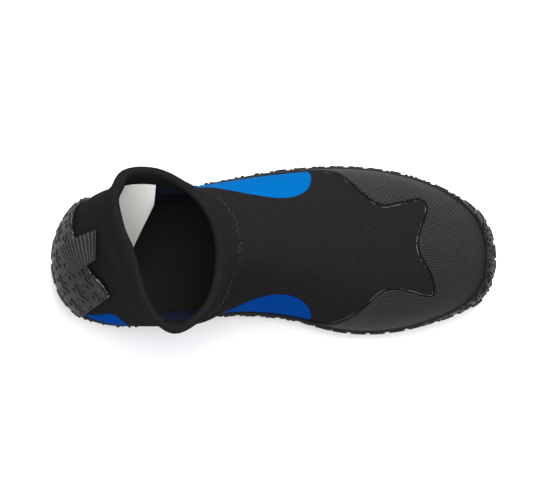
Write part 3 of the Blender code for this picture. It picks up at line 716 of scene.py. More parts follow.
def to_segment(points, start, end):
    """The share of a straight piece at which it comes nearest to each point, and the distance there."""
    ahead = end - start
    share = np.clip((points - start) @ ahead / max(ahead @ ahead, TINY), 0, 1)
    return share, np.linalg.norm(points - start - share[:, None] * ahead, axis=1)


def line_distance(points, line):
    """Distance of points to a line of straight pieces, in a plane or in space."""
    nearest = np.full(len(points), np.inf)
    for start, end in zip(line[:-1], line[1:]):
        nearest = np.minimum(nearest, to_segment(points, start, end)[1])
    return nearest


def loop_depth(points, loop):
    """Distance of plane points to a closed loop, positive inside it."""
    far = line_distance(points, np.vstack([loop, loop[:1]]))
    return np.where(inside(loop, points), far, -far)


def shell(outer, inner, faces):
    """A closed wall between two copies of a surface."""
    count = len(outer)
    back = [tuple(i + count for i in reversed(face)) for face in faces]
    sides = [(b, a, a + count, b + count) for a, b in border_edges(faces)]
    return np.vstack([outer, inner]), list(faces) + back + sides


def grid_faces(rows, columns):
    """Quads of a grid whose points run row by row."""
    width = columns + 1
    corners = [i * width + j for i in range(rows) for j in range(columns)]
    return [(corner, corner + 1, corner + width + 1, corner + width) for corner in corners]


def ring_faces(start, sides):
    """Quads between a ring of points and the next one."""
    rings = [(start + i, start + (i + 1) % sides) for i in range(sides)]
    return [(first, first + sides, second + sides, second) for first, second in rings]


def ring_of(sides):
    """Points in a plane round a circle of radius 1."""
    angles = 2 * math.pi * np.arange(sides) / sides
    return np.column_stack([np.cos(angles), np.sin(angles)])


def add_object(name, data):
    thing = bpy.data.objects.new(name, data)
    bpy.context.scene.collection.objects.link(thing)
    return thing


def new_object(name, points, faces, edges=()):
    """A new mesh object from points in metres."""
    mesh = bpy.data.meshes.new(name)
    mesh.from_pydata([tuple(point) for point in points], edges, [tuple(map(int, face)) for face in faces])
    return add_object(name, mesh)


def new_piece(name, points, faces, marks=()):
    """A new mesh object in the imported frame, with named numbers on its points."""
    thing = new_object(name, placed(points), faces)
    for mark, values in dict(marks).items():
        write_mark(thing.data, mark, values)
    return thing


def write_mark(mesh, mark, values):
    layer = mesh.attributes.get(mark) or mesh.attributes.new(mark, "FLOAT", "POINT")
    layer.data.foreach_set("value", np.asarray(values, np.float32))


def read_mark(mesh, mark):
    values = np.empty(len(mesh.vertices), np.float32)
    mesh.attributes[mark].data.foreach_get("value", values)
    return values.astype(float)


def write_vectors(mesh, mark, rows):
    layer = mesh.attributes.new(mark, "FLOAT_VECTOR", "POINT")
    layer.data.foreach_set("vector", np.array(rows, np.float32).ravel())


def write_weave(mesh, layout):
    """Lays a weave on a mesh, from a place in millimetres for each point."""
    uv = mesh.uv_layers.new(name="weave")
    for loop in mesh.loops:
        uv.data[loop.index].uv = layout[loop.vertex_index]


def read_points(mesh, kind="co"):
    """A mesh's points in the tables' frame, or its normals."""
    flat = np.empty(3 * len(mesh.vertices), np.float32)
    mesh.vertices.foreach_get(kind, flat)
    rows = flat.reshape(-1, 3).astype(float)
    return rows / MM - shift() if kind == "co" else rows


def write_points(mesh, points):
    mesh.vertices.foreach_set("co", placed(points).astype(np.float32).ravel())
    mesh.update()


def settle(thing):
    """Turns an object's modifiers into its plain mesh."""
    bpy.context.view_layer.update()
    graph = bpy.context.evaluated_depsgraph_get()
    old = thing.data
    mesh = bpy.data.meshes.new_from_object(thing.evaluated_get(graph))
    thing.modifiers.clear()
    thing.data = mesh
    bpy.data.meshes.remove(old)
    mesh.name = thing.name


def run_nodes(thing, tree, settings):
    """Runs a geometry node group on a piece, with its settings by socket identifier, and keeps the result."""
    made = thing.modifiers.new(tree.name, "NODES")
    made.node_group = tree
    for identifier, value in settings.items():
        made[identifier] = value
    settle(thing)


def round_edges(thing, width):
    """Rounds a piece's sharp edges by a width in millimetres."""
    made = thing.modifiers.new("rounded edges", "BEVEL")
    made.width = width * MM
    made.segments = ROUNDING_SEGMENTS
    made.limit_method = "ANGLE"
    made.angle_limit = math.radians(ROUNDING_ANGLE_DEG)
    settle(thing)


def open_form(mesh):
    form = bmesh.new()
    form.from_mesh(mesh)
    return form


def close_form(form, mesh):
    form.to_mesh(mesh)
    form.free()


def turn_faces_out(thing):
    form = open_form(thing.data)
    bmesh.ops.recalc_face_normals(form, faces=form.faces)
    close_form(form, thing.data)


def finish_piece(thing, material, slot, *nodes, sharp=50):
    """Gives a piece its material and shading and seats it in the frame."""
    mesh = thing.data
    mesh.materials.clear()
    mesh.materials.append(material)
    mesh.shade_smooth()
    if sharp:
        mesh.set_sharp_from_angle(angle=math.radians(sharp))
    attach(thing, "root")
    if nodes:
        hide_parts(*nodes)


def feed(tree, socket, value):
    """Links another node's output to a socket, or sets a plain value on it."""
    if isinstance(value, bpy.types.NodeSocket):
        tree.links.new(value, socket)
    else:
        socket.default_value = value


def node(tree, kind, inputs=(), **settings):
    """A new node: settings are its own options, inputs are values or other nodes' outputs."""
    made = tree.nodes.new(kind)
    for name, value in settings.items():
        setattr(made, name, value)
    for name, value in dict(inputs).items():
        feed(tree, made.inputs[name], value)
    return made


def new_material(name, roughness, gloss):
    """A material, its node tree to link into and its shader."""
    material = bpy.data.materials.new(name)
    material.use_nodes = True
    tree = material.node_tree
    shader = tree.nodes["Principled BSDF"]
    feed(tree, shader.inputs["Roughness"], roughness)
    feed(tree, shader.inputs["Specular IOR Level"], gloss)
    return material, tree, shader


def mix_colour(tree, share, first, second, most=1.0):
    """A colour that turns from the first to the second by a share, which `most` makes smaller."""
    if most < 1:
        share = maths(tree, "MULTIPLY", share, most)
    inputs = {MIX_SHARE: share, MIX_FIRST: first, MIX_SECOND: second}
    return node(tree, "ShaderNodeMix", inputs, data_type="RGBA").outputs[MIX_RESULT]


def two_tone(tree, share, colour, dark, pale):
    """One base colour that turns from a dark gain to a pale one by a share."""
    return mix_colour(tree, share, rgba(colour, dark), rgba(colour, pale))


def soft_step(tree, value, low, high):
    """A node that rises from 0 at low to 1 at high."""
    inputs = {"Value": value, "From Min": low, "From Max": high}
    made = node(tree, "ShaderNodeMapRange", inputs, interpolation_type="SMOOTHSTEP", clamp=True)
    return made.outputs["Result"]


def soft_fall(tree, value, low, high):
    """A node that falls from 1 at low to 0 at high."""
    return maths(tree, "SUBTRACT", 1.0, soft_step(tree, value, low, high))


def line_share(tree, value, place, half, core=0.0):
    """A node that is 1 where a value is within a core of a place and falls to 0 at half a width away."""
    away = maths(tree, "ABSOLUTE", maths(tree, "SUBTRACT", value, place))
    return soft_fall(tree, away, core, half)


def maths(tree, operation, first, second=0.0):
    return node(tree, "ShaderNodeMath", {0: first, 1: second}, operation=operation).outputs[0]


def weighted(tree, *terms):
    """A sum of other nodes' outputs and plain values, each times its weight."""
    total = 0.0
    for value, weight in terms:
        total = maths(tree, "ADD", total, maths(tree, "MULTIPLY", value, weight))
    return total


def object_place(tree):
    return node(tree, "ShaderNodeTexCoord").outputs["Object"]


def grain(tree, size, detail):
    """Noise on the piece's own coordinates with features of about `size` millimetres."""
    inputs = {"Vector": object_place(tree), "Scale": 1 / (size * MM), "Detail": detail}
    return node(tree, "ShaderNodeTexNoise", inputs).outputs["Fac"]


def mark_node(tree, mark):
    return node(tree, "ShaderNodeAttribute", attribute_type="GEOMETRY", attribute_name=mark).outputs["Fac"]


def bump(tree, shader, height, depth, strength):
    """Links heights from 0 to 1 as relief of `depth` millimetres."""
    made = node(tree, "ShaderNodeBump", {"Height": height, "Distance": depth * MM, "Strength": strength})
    feed(tree, shader.inputs["Normal"], made.outputs[0])


def rgba(colour, gain=1.0):
    return (*(channel * gain for channel in colour), 1.0)


def dashes(tree, length, row, gap, softness):
    """1 on rows of short raised dashes and 0 between them, laid on a piece's weave in millimetres."""
    layout = node(tree, "ShaderNodeUVMap", uv_map="weave")
    inputs = {
        "Vector": layout.outputs[0],
        "Scale": 1.0,
        "Mortar Size": gap,
        "Mortar Smooth": softness,
        "Brick Width": length,
        "Row Height": row,
    }
    brick = node(tree, "ShaderNodeTexBrick", inputs, offset=0.5, offset_frequency=2)
    return maths(tree, "SUBTRACT", 1.0, brick.outputs["Fac"])


def dust_share(tree):
    """1 on sparse small specks of dust."""
    inputs = {"Vector": object_place(tree), "Scale": 1 / (DUST_SPACING * MM)}
    cells = node(tree, "ShaderNodeTexVoronoi", inputs)
    return soft_fall(tree, cells.outputs["Distance"], low=DUST_DOT / 2, high=DUST_DOT)


def jersey_material(colours):
    """Neoprene faced with knitted jersey: black body, blue side panels whose medial one is partly darkened as
    painted shade, dark seams, a painted shadow line along the toe cap's groove, a pale line beside it that is
    partly glue and partly painted highlight, dust, and a near-black lining with painted shade over the inner
    blue and painted light low inside.
    """
    material, tree, shader = new_material("neoprene_jersey", roughness=0.92, gloss=0.005)
    black = colours.black_jersey
    panel, medial, cap_edge = (mark_node(tree, mark) for mark in ("panel", "medial", "cap"))
    fine = grain(tree, size=0.75, detail=1.0)
    cloudy = grain(tree, size=14.0, detail=3.0)
    # The medial panel's blue is partly painted shade: it is darker than the lateral blue partly because that
    # side lies away from the key lamp
    dark_blue, pale_blue = (
        mix_colour(tree, medial, rgba(colours.lateral_blue, gain), rgba(colours.medial_blue_with_shade, gain))
        for gain in (0.78, 1.18)
    )
    blue = mix_colour(tree, fine, dark_blue, pale_blue)
    blue = mix_colour(tree, cloudy, blue, dark_blue, most=0.25)
    body = two_tone(tree, fine, black, dark=0.35, pale=1.65)
    body = mix_colour(tree, soft_step(tree, panel, low=-0.35, high=0.35), body, blue)
    seam = line_share(tree, panel, place=0.0, half=1.0, core=0.15)
    body = mix_colour(tree, seam, body, rgba(black, gain=0.6), most=0.55)
    # Painted shadow: a dark line along the toe cap's edge, where the sunk groove is too fine to cast its own
    # shade
    groove_and_shadow = line_share(tree, cap_edge, place=-0.40, half=0.75)
    body = mix_colour(tree, groove_and_shadow, body, rgba(black, gain=0.25), most=0.85)
    # A patchy pale line beside the toe cap's edge: partly dried glue, partly a painted highlight of the cap's
    # rounded edge
    patchy = soft_step(tree, grain(tree, size=9.0, detail=2.0), low=0.46, high=0.62)
    glue_and_highlight = maths(tree, "MULTIPLY", line_share(tree, cap_edge, place=-1.15, half=0.45), patchy)
    body = mix_colour(tree, glue_and_highlight, body, rgba(colours.glue), most=0.32)
    body = mix_colour(tree, dust_share(tree), body, rgba(colours.glue), most=0.13)
    # Painted shade: the inner faces, the inside of the blue panels too, are mixed nearly to black, less so on
    # the medial side
    shade_cover = maths(tree, "SUBTRACT", INNER_SHADE_COVER, maths(tree, "MULTIPLY", medial, MEDIAL_SHADE_LOSS))
    lining = maths(tree, "MULTIPLY", mark_node(tree, "inner"), shade_cover)
    # Painted light: the lining is lighter low inside the shoe than near the rim, standing in for light that
    # reaches into the shaded opening
    painted_light_low_inside = soft_fall(tree, mark_node(tree, "up"), low=45.0, high=80.0)
    body = mix_colour(tree, lining, body, two_tone(tree, painted_light_low_inside, black, dark=0.9, pale=2.6))
    feed(tree, shader.inputs["Base Color"], body)
    relief = weighted(tree, (fine, 0.5), (seam, -1.2), (groove_and_shadow, -1.5))
    bump(tree, shader, relief, depth=0.22, strength=0.8)
    return material


def rubber_material(colours):
    """Moulded rubber, matt with a slight bloom, and lighter where it stands proud: painted light on the lug
    crests, with scuffing too on the sole's lugs.
    """
    material, tree, shader = new_material("sole_rubber", roughness=0.58, gloss=0.20)
    fine = grain(tree, size=0.8, detail=3.0)
    bloom = grain(tree, size=22.0, detail=4.0)
    crest = soft_step(tree, mark_node(tree, "crest"), low=0.55, high=1.0)
    base = two_tone(tree, fine, colours.rubber, dark=0.85, pale=1.15)
    misty = soft_step(tree, bloom, low=0.45, high=0.75)
    base = mix_colour(tree, misty, base, rgba(colours.rubber, gain=1.35))
    # The lugs grow lighter towards their tops: painted light on the crests against the shaded hollows, and on
    # the sole's lugs also scuffing
    base = mix_colour(tree, crest, base, rgba(colours.rubber, gain=2.0))
    feed(tree, shader.inputs["Base Color"], base)
    feed(tree, shader.inputs["Roughness"], weighted(tree, (bloom, 0.22), (1.0, 0.44)))
    bump(tree, shader, fine, depth=0.12, strength=0.6)
    return material


def cap_material(colours):
    """Abrasion fabric embossed with rows of short dashes, painted paler on the raised dashes and dark in the
    gaps as light and shade on the emboss.
    """
    material, tree, shader = new_material("cap_fabric", roughness=0.68, gloss=0.16)
    raised = dashes(tree, length=2.45, row=1.75, gap=0.34, softness=0.6)
    fine = grain(tree, size=0.5, detail=1.0)
    cloudy = grain(tree, size=18.0, detail=3.0)
    # Painted light and shade: the raised dashes are much paler than the near-black gaps between them,
    # standing in for how light falls on the emboss
    high = two_tone(tree, cloudy, colours.cap_fabric, dark=1.40, pale=2.40)
    body = mix_colour(tree, raised, rgba(colours.cap_fabric, gain=0.15), high)
    feed(tree, shader.inputs["Base Color"], body)
    bump(tree, shader, weighted(tree, (raised, 1.0), (fine, 0.25)), depth=0.28, strength=0.9)
    return material


def webbing_material(colours, rib_pitch):
    """Woven webbing: cross ribs with a row of pale flecks on each."""
    material, tree, shader = new_material("ribbed_webbing", roughness=0.75, gloss=0.20)
    fleck = dashes(tree, length=1.25, row=rib_pitch, gap=0.36, softness=0.3)
    crest = soft_step(tree, mark_node(tree, "rib"), low=0.66, high=0.98)
    lit = maths(tree, "MULTIPLY", crest, soft_step(tree, fleck, low=0.3, high=0.8))
    feed(tree, shader.inputs["Base Color"], two_tone(tree, lit, colours.webbing, dark=1.1, pale=13.0))
    bump(tree, shader, fleck, depth=0.22, strength=0.8)
    return material


def thread_material(colours):
    """Dark thread with painted highlights here and there."""
    material, tree, shader = new_material("hem_thread", roughness=0.6, gloss=0.2)
    # Painted highlights: scattered patches of the thread are much paler, standing in for glints of light on
    # it
    painted_glint = soft_step(tree, grain(tree, size=1.6, detail=1.0), low=0.56, high=0.66)
    feed(tree, shader.inputs["Base Color"], two_tone(tree, painted_glint, colours.thread, dark=0.04, pale=1.6))
    return material


def plain_cloth_material(name, colour, size, depth, roughness):
    """A one-colour cloth with a fine uneven face."""
    material, tree, shader = new_material(name, roughness, gloss=0.3)
    fine = grain(tree, size, detail=2.0)
    soft = grain(tree, size * CLOUD_SPREAD, detail=2.0)
    body = two_tone(tree, fine, colour, dark=0.86, pale=1.08)
    body = mix_colour(tree, soft, body, rgba(colour, gain=0.80), most=0.3)
    feed(tree, shader.inputs["Base Color"], body)
    bump(tree, shader, fine, depth, strength=0.6)
    return material


@lru_cache(maxsize=None)
def upper_heights():
    """Height up the wall of every skin point."""
    skin = upper_skin()
    heights = np.zeros(len(skin.points))
    for r in range(ROUND_RIBS):
        run = rib_line(r)[2]
        for j, height in enumerate(run):
            heights[skin.where[joined_key(r, j)]] = height
    return heights


def rim_line():
    """Closed line round the collar's rim."""
    tops = [rib_line(r)[0][-1] for r in range(FORE_RIBS, ROUND_RIBS - FORE_RIBS)]
    return np.array(tops + tops[:1])


def panel_loop(rows):
    """Outline of one blue panel on the unrolled wall."""
    return curve_through([(row.along, row.height) for row in rows], PANEL_SAMPLES)


def panel_depth(points, heights, inner):
    """How far inside a blue panel each point lies, on the wall unrolled to along and height."""
    depths = []
    for rows, lining in ((LATERAL_PANEL, LATERAL_LINING), (MEDIAL_PANEL, MEDIAL_LINING)):
        rise = inner * lining.rise * bell(points[:, 0] - lining.along, lining.spread)
        level = heights * LINING_FOOT / (LINING_FOOT + rise)
        depths.append(loop_depth(np.column_stack([points[:, 0], level]), panel_loop(rows)))
    return np.where(points[:, 1] > 0, *depths)


@lru_cache(maxsize=None)
def cap_loop():
    """Outline of the toe cap on the unrolled vamp."""
    strokes = [
        curve_through(stroke, CAP_EDGE_STEPS * (len(stroke) - 1) + 1)[:-1]
        for stroke in (CAP_EDGE_LATERAL, CAP_EDGE_FRONT, CAP_EDGE_MEDIAL)
    ]
    rear = CAP_EDGE_MEDIAL[-1].along
    corners = (rear, -1), (CAP_FRONT, -1), (CAP_FRONT, 1), (rear, 1)
    loop = np.vstack([*strokes, [(along, side * CAP_SIDE_TURN) for along, side in corners]])
    loop[:, 1] *= CAP_DEGREE
    return loop


def unrolled_vamp(points):
    """Places along the shoe and round its lengthwise axis, in millimetres on the unrolled vamp."""
    turn = np.degrees(np.arctan2(points[:, 1], points[:, 2] - CAP_AXIS_HEIGHT))
    return np.column_stack([points[:, 0], CAP_DEGREE * turn])


def cap_depth(points):
    """How far inside the toe cap's edge each point lies."""
    return loop_depth(unrolled_vamp(points), cap_loop())


def slack(points):
    """Soft uneven swell of loose neoprene, from -1 to 1."""
    return np.array([noise.noise(Vector(point / SLACK_LENGTH)) for point in points])


def upper_relief(points, heights, inner):
    """How far the slack neoprene's folds, hem and seams lift or sink the skin."""
    relief = np.zeros(len(points))
    for crease in CREASES:
        line = curve_through(crease.line, CREASE_SAMPLES)
        relief -= crease.depth * bell(line_distance(points, line), crease.width)
    rim = line_distance(points, rim_line())
    seam = line_distance(points, curve_through(HEM_SEAM, SEAM_SAMPLES))
    roll, roll_place, roll_width = HEM_ROLL
    pinch, pinch_width = SEAM_PINCH
    outside = 1 - inner
    relief += outside * roll * bell(rim - roll_place, roll_width)
    relief -= outside * pinch * bell(seam, pinch_width)
    held = (1 - ease(points[:, 0], *HELD_BACK)) * (1 - ease(heights, *HELD_TOP))
    relief += SLACK_HEIGHT * slack(points) * ease(heights, *SLACK_RISE) * (1 - held)
    return relief


def collar_lean(points, inner):
    """How far the slack collar's points lie off the even loop."""
    moved = np.zeros_like(points)
    for lean in COLLAR_LEANS:
        share = bell(line_distance(points, np.array(lean.line)), lean.width)
        if lean.lining_only:
            share = share * inner
        moved += share[:, None] * np.array(lean.push)
    return moved


def upper_cage(points, faces, marks):
    """The neoprene shell's cage, smoothed but sharp along the feather line."""
    thing = new_piece("upper_shell", points, faces, marks)
    mesh = thing.data
    crease = mesh.attributes.new("crease_edge", "FLOAT", "EDGE")
    on_feather = marks["up"] == 0
    for edge in mesh.edges:
        crease.data[edge.index].value = float(all(on_feather[i] for i in edge.vertices))
    smoother = thing.modifiers.new("smooth skin", "SUBSURF")
    smoother.levels = smoother.render_levels = SKIN_LEVEL
    settle(thing)
    return thing


def make_upper_mesh():
    """The neoprene shell, smoothed through the skin's ribs and finer on its outer face."""
    skin = upper_skin()
    wall = np.full(len(skin.points), UPPER_WALL)
    for (_, j), i in skin.where.items():
        hem_share = np.clip((j - BODY_STEPS) / HEM_FIRST_SHARE, 0, 1)
        wall[i] += (HEM_WALL - UPPER_WALL) * hem_share
    inner = skin.points - skin.normals * wall[:, None]
    points, faces = shell(skin.points, inner, skin.faces)
    marks = {"up": np.tile(upper_heights(), 2), "inner": np.repeat([0.0, 1.0], len(skin.points))}
    cage = points.copy()
    for _ in range(FIT_ROUNDS):
        trial = upper_cage(cage, faces, marks)
        cage += FIT_SHARE * (points - read_points(trial.data)[: len(points)])
        bpy.data.meshes.remove(trial.data)
    thing = upper_cage(cage, faces, marks)
    form = open_form(thing.data)
    layer = form.verts.layers.float["inner"]
    fine = [edge for edge in form.edges if sum(vert[layer] for vert in edge.verts) < 1.0]
    bmesh.ops.subdivide_edges(form, edges=fine, cuts=1, use_grid_fill=True)
    close_form(form, thing.data)
    return thing


class BootieSizes(PropertyGroup):
    """Sizes that change the dressed bootie."""

    stitch_pitch: FloatProperty(name="Stitch", description="One zigzag", default=0.0034, unit="LENGTH")
    stitch_reach: FloatProperty(name="Reach", description="Half a stitch", default=0.0017, unit="LENGTH")
    thread: FloatProperty(name="Thread", description="Thread radius", default=0.00034, unit="LENGTH")
    lug_pitch: FloatProperty(name="Lug pitch", description="Lug to lug", default=0.0136, unit="LENGTH")
    lug_rows: FloatProperty(name="Lug rows", description="Row to row", default=0.0123, unit="LENGTH")
    lug_arm: FloatProperty(name="Lug arm", description="Length of a lug's arm", default=0.0058, unit="LENGTH")
    lug_width: FloatProperty(name="Lug width", description="Width of an arm", default=0.0024, unit="LENGTH")
    dot: FloatProperty(name="Dot", description="Radius of a dot", default=0.00115, unit="LENGTH")
    cap_wall: FloatProperty(name="Toe cap", description="Toe cap thickness", default=0.0011, unit="LENGTH")
    webbing_rib: FloatProperty(name="Webbing rib", description="Between ribs", default=0.0021, unit="LENGTH")
    webbing_relief: FloatProperty(name="Rib relief", description="Rib height", default=0.0003, unit="LENGTH")
    specks: IntProperty(name="Glue specks", description="Along the flap's edge", default=240, min=0)


class BootieColours(PropertyGroup):
    """Base colours of the bootie's finishes."""

    black_jersey: FloatVectorProperty(
        name="Black jersey", description="Body", subtype="COLOR", default=(0.0103, 0.0099, 0.0101)
    )
    lateral_blue: FloatVectorProperty(
        name="Lateral blue", description="Outer side panel", subtype="COLOR", default=(0.0003, 0.083, 0.268)
    )
    # Partly the panel's own deeper blue, partly painted shade for the side away from the key lamp
    medial_blue_with_shade: FloatVectorProperty(
        name="Medial blue", description="Inner side panel", subtype="COLOR", default=(0.0004, 0.034, 0.190)
    )
    cap_fabric: FloatVectorProperty(
        name="Toe cap", description="Embossed fabric", subtype="COLOR", default=(0.0096, 0.0095, 0.0108)
    )
    rubber: FloatVectorProperty(
        name="Rubber", description="Sole and heel", subtype="COLOR", default=(0.0040, 0.0040, 0.0043)
    )
    webbing: FloatVectorProperty(
        name="Webbing", description="Heel loop", subtype="COLOR", default=(0.0070, 0.0070, 0.0070)
    )
    label: FloatVectorProperty(
        name="Label", description="Bare satin", subtype="COLOR", default=(0.76, 0.75, 0.72)
    )
    thread: FloatVectorProperty(
        name="Thread", description="Hem stitching", subtype="COLOR", default=(0.024, 0.022, 0.021)
    )
    glue: FloatVectorProperty(
        name="Glue", description="Dried specks", subtype="COLOR", default=(0.30, 0.29, 0.28)
    )
    foot_bed: FloatVectorProperty(
        name="Foot bed", description="Inside", subtype="COLOR", default=(0.0106, 0.0100, 0.0085)
    )
    floor: FloatVectorProperty(
        name="Floor", description="Pale studio floor", subtype="COLOR", default=(0.93, 0.93, 0.93)
    )


class BOOTIE_OT_upper(Operator):
    """Neoprene upper with its panels, seams, hem and slack folds"""

    bl_idname = "bootie.upper"
    bl_label = "Upper"

    def execute(self, context):
        thing = make_upper_mesh()
        mesh = thing.data
        points, normals = read_points(mesh), read_points(mesh, "normal")
        heights, inner = read_mark(mesh, "up"), read_mark(mesh, "inner")
        outward = normals * np.where(inner > 0.5, -1.0, 1.0)[:, None]
        write_mark(mesh, "panel", np.clip(panel_depth(points, heights, inner), -MARK_REACH, MARK_REACH))
        capped = (points[:, 0] > CAP_REAR) & (inner < 0.5)
        write_mark(mesh, "cap", np.where(capped, cap_depth(points), -MARK_REACH))
        write_mark(mesh, "medial", points[:, 1] < 0)
        points += outward * upper_relief(points, heights, inner)[:, None] + collar_lean(points, inner)
        write_points(mesh, points)
        material = jersey_material(context.scene.bootie_colours)
        finish_piece(thing, material, "upper_neoprene", "upper", sharp=70)
        return {"FINISHED"}


def split_at(form, layer, level):
    """Cuts a surface along the line where a number on its points passes a level."""
    cut = []
    for edge in list(form.edges):
        first, last = (vert[layer] - level for vert in edge.verts)
        if first * last < 0:
            _, vert = bmesh.utils.edge_split(edge, edge.verts[0], first / (first - last))
            vert[layer] = level
            cut.append(vert)
    bmesh.ops.connect_verts(form, verts=cut)


def drop_below(form, *layers):
    """Deletes the faces with a point where one of the numbers is below 0."""
    spare = [
        face
        for face in form.faces
        if any(vert[layer] < -CUT_SLACK for vert in face.verts for layer in layers)
    ]
    bmesh.ops.delete(form, geom=spare, context="FACES")


def cap_form(upper):
    """The part of the upper's outer face under the toe cap, cut along the cap's edge."""
    form = open_form(upper.data)
    inner, up, cap = (form.verts.layers.float[name] for name in ("inner", "up", "cap"))
    tall = form.verts.layers.float.new("above_band")
    for vert in form.verts:
        along = vert.co.x / MM - shift()[0]
        vert[tall] = vert[up] - float(lookup(RAND_HEIGHT, "along", "height", along)) + CAP_TUCK
    outside = [
        face
        for face in form.faces
        if any(vert[inner] > OUTER_MARK or vert.co.x / MM - shift()[0] < CAP_REAR for vert in face.verts)
        or all(vert[cap] < -CAP_MARGIN for vert in face.verts)
    ]
    bmesh.ops.delete(form, geom=outside, context="FACES")
    split_at(form, tall, 0.0)
    for level in CAP_ROUNDING:
        split_at(form, cap, level)
    drop_below(form, cap, tall)
    return form


class BOOTIE_OT_toe_cap(Operator):
    """Embossed toe cap with its star-shaped edge"""

    bl_idname = "bootie.toe_cap"
    bl_label = "Toe cap"

    def execute(self, context):
        form = cap_form(bpy.data.objects["upper_shell"])
        form.normal_update()
        form.verts.index_update()
        cap = form.verts.layers.float["cap"]
        base = np.array([vert.co for vert in form.verts]) / MM - shift()
        normals = np.array([vert.normal for vert in form.verts])
        depth = np.array([vert[cap] for vert in form.verts])
        faces = [tuple(vert.index for vert in face.verts) for face in form.faces]
        form.free()
        wall = context.scene.bootie_sizes.cap_wall / MM
        round_share = np.clip(depth / CAP_ROUNDING[-1], 0, 1)
        rise = CAP_SEAT + wall * np.sqrt(1 - (1 - round_share) ** 2)
        points, walls = shell(base + normals * rise[:, None], base + normals * CAP_SEAT / 2, faces)
        thing = new_piece("toe_cap_shell", points, walls)
        layout = unrolled_vamp(points)
        layout[:, 1] += WEAVE_SLANT * layout[:, 0]
        write_weave(thing.data, layout)
        material = cap_material(context.scene.bootie_colours)
        finish_piece(thing, material, "toe_cap_fabric", "toe_cap", sharp=60)
        return {"FINISHED"}


def flap_place(across, up):
    """Rib and height of a place on the heel flap, from shares across it and up it."""
    rib = FLAP_FIRST_RIB + across * (FLAP_LAST_RIB - FLAP_FIRST_RIB)
    top_rib = lookup(FLAP_TOP, "share", "rib", across)
    top_height = lookup(FLAP_TOP, "share", "height", across)
    low = band_top(RIBS + rib)
    return RIBS + rib + up * (top_rib - rib), low + up * (top_height - low)


@lru_cache(maxsize=None)
def flap_loop():
    """Outline of the heel flap as ribs and heights, up its lateral edge, along its top and down."""
    shares = np.linspace(0, 1, FLAP_EDGE_STEPS)
    across = np.concatenate([np.zeros(FLAP_EDGE_STEPS), shares, np.ones(FLAP_EDGE_STEPS)])
    up = np.concatenate([shares, np.ones(FLAP_EDGE_STEPS), shares[::-1]])
    return np.column_stack(flap_place(across, up))


def wrap_grid():
    """Rib and height of each point of the rubber wrap by column and row: the band, then the heel flap."""
    grid = {}
    tops = band_top(COLUMN_RIBS)
    shares = np.arange(1, FLAP_ROWS + 1) / FLAP_ROWS
    for i, (rib, top) in enumerate(zip(COLUMN_RIBS, tops)):
        for j in range(BAND_ROWS + 1):
            grid[(i, j)] = (rib, top * j / BAND_ROWS)
        across = (rib - RIBS - FLAP_FIRST_RIB) / (FLAP_LAST_RIB - FLAP_FIRST_RIB)
        if 0 <= across <= 1:
            places = np.column_stack(flap_place(np.full(FLAP_ROWS, across), shares))
            grid.update({(i, BAND_ROWS + 1 + j): tuple(place) for j, place in enumerate(places)})
    return grid


def wrap_shell():
    """The rubber wrap, open underneath: points, faces, and the outer and inner foot point of each column."""
    grid = wrap_grid()
    where = {place: i for i, place in enumerate(grid)}
    ribs, heights = np.array(list(grid.values())).T
    gap = np.where(np.array([j for _, j in grid]) > BAND_ROWS, FLAP_GAP, GLUE_GAP)
    outer, _ = on_skin(ribs, heights, gap + RAND_WALL)
    inner, _ = on_skin(ribs, heights, gap)
    faces = []
    for i, j in where:
        after = (i + 1) % len(COLUMN_RIBS)
        corners = (i, j), (after, j), (after, j + 1), (i, j + 1)
        if all(corner in where for corner in corners):
            faces.append(tuple(where[corner] for corner in corners))
    points, walls = shell(outer, inner, faces)
    feet = [where[(i, 0)] for i in range(len(COLUMN_RIBS))]
    foot_edges = set(zip(feet, feet[1:] + feet[:1]))
    walls = [face for face in walls if (face[1], face[0]) not in foot_edges]
    return list(points), walls, feet, [len(outer) + foot for foot in feet]


def roll_profile():
    """The rubber's rolled edge as ways out and heights, from the flat underside up to the band's foot."""
    turn = np.linspace(0, math.pi / 2, ROLL_ROWS + 1)
    out = (GLUE_GAP + RAND_WALL + RAND_TUCK) * np.sqrt(np.sin(turn)) - RAND_TUCK
    height = -(FEATHER_HEIGHT - LUG_HEIGHT) * np.sqrt(np.clip(np.cos(turn), 0, 1))
    return np.column_stack([out, height])


class BOOTIE_OT_outsole(Operator):
    """Rubber sole body: sheet, rolled edge, band and heel flap"""

    bl_idname = "bootie.outsole"
    bl_label = "Outsole"

    def execute(self, context):
        points, walls, feet, inner_feet = wrap_shell()
        base, out = wall_foot(COLUMN_RIBS)
        profile = roll_profile()[:-1]
        rolls, sills = [], []
        for i, (foot, inner_foot) in enumerate(zip(feet, inner_feet)):
            rolls.append([*range(len(points), len(points) + ROLL_ROWS), foot])
            points += [base[i] + away * out[i] + (0, 0, height) for away, height in profile]
            sills.append((inner_foot, len(points)))
            points.append(points[inner_foot] - (0, 0, GLUE_GAP))
        for lines in (rolls, sills):
            for near, far in zip(lines, lines[1:] + lines[:1]):
                walls += [(near[j], far[j], far[j + 1], near[j + 1]) for j in range(len(near) - 1)]
        walls += sheet_faces(points, [roll[0] for roll in rolls], LUG_HEIGHT, up=False)
        walls += sheet_faces(points, [sill[-1] for sill in sills], FLOOR_HEIGHT, up=True)
        thing = new_piece("outsole_body", points, walls)
        round_edges(thing, SOLE_ROUNDING)
        material = rubber_material(context.scene.bootie_colours)
        finish_piece(thing, material, "outsole_rubber", "outsole", sharp=60)
        return {"FINISHED"}


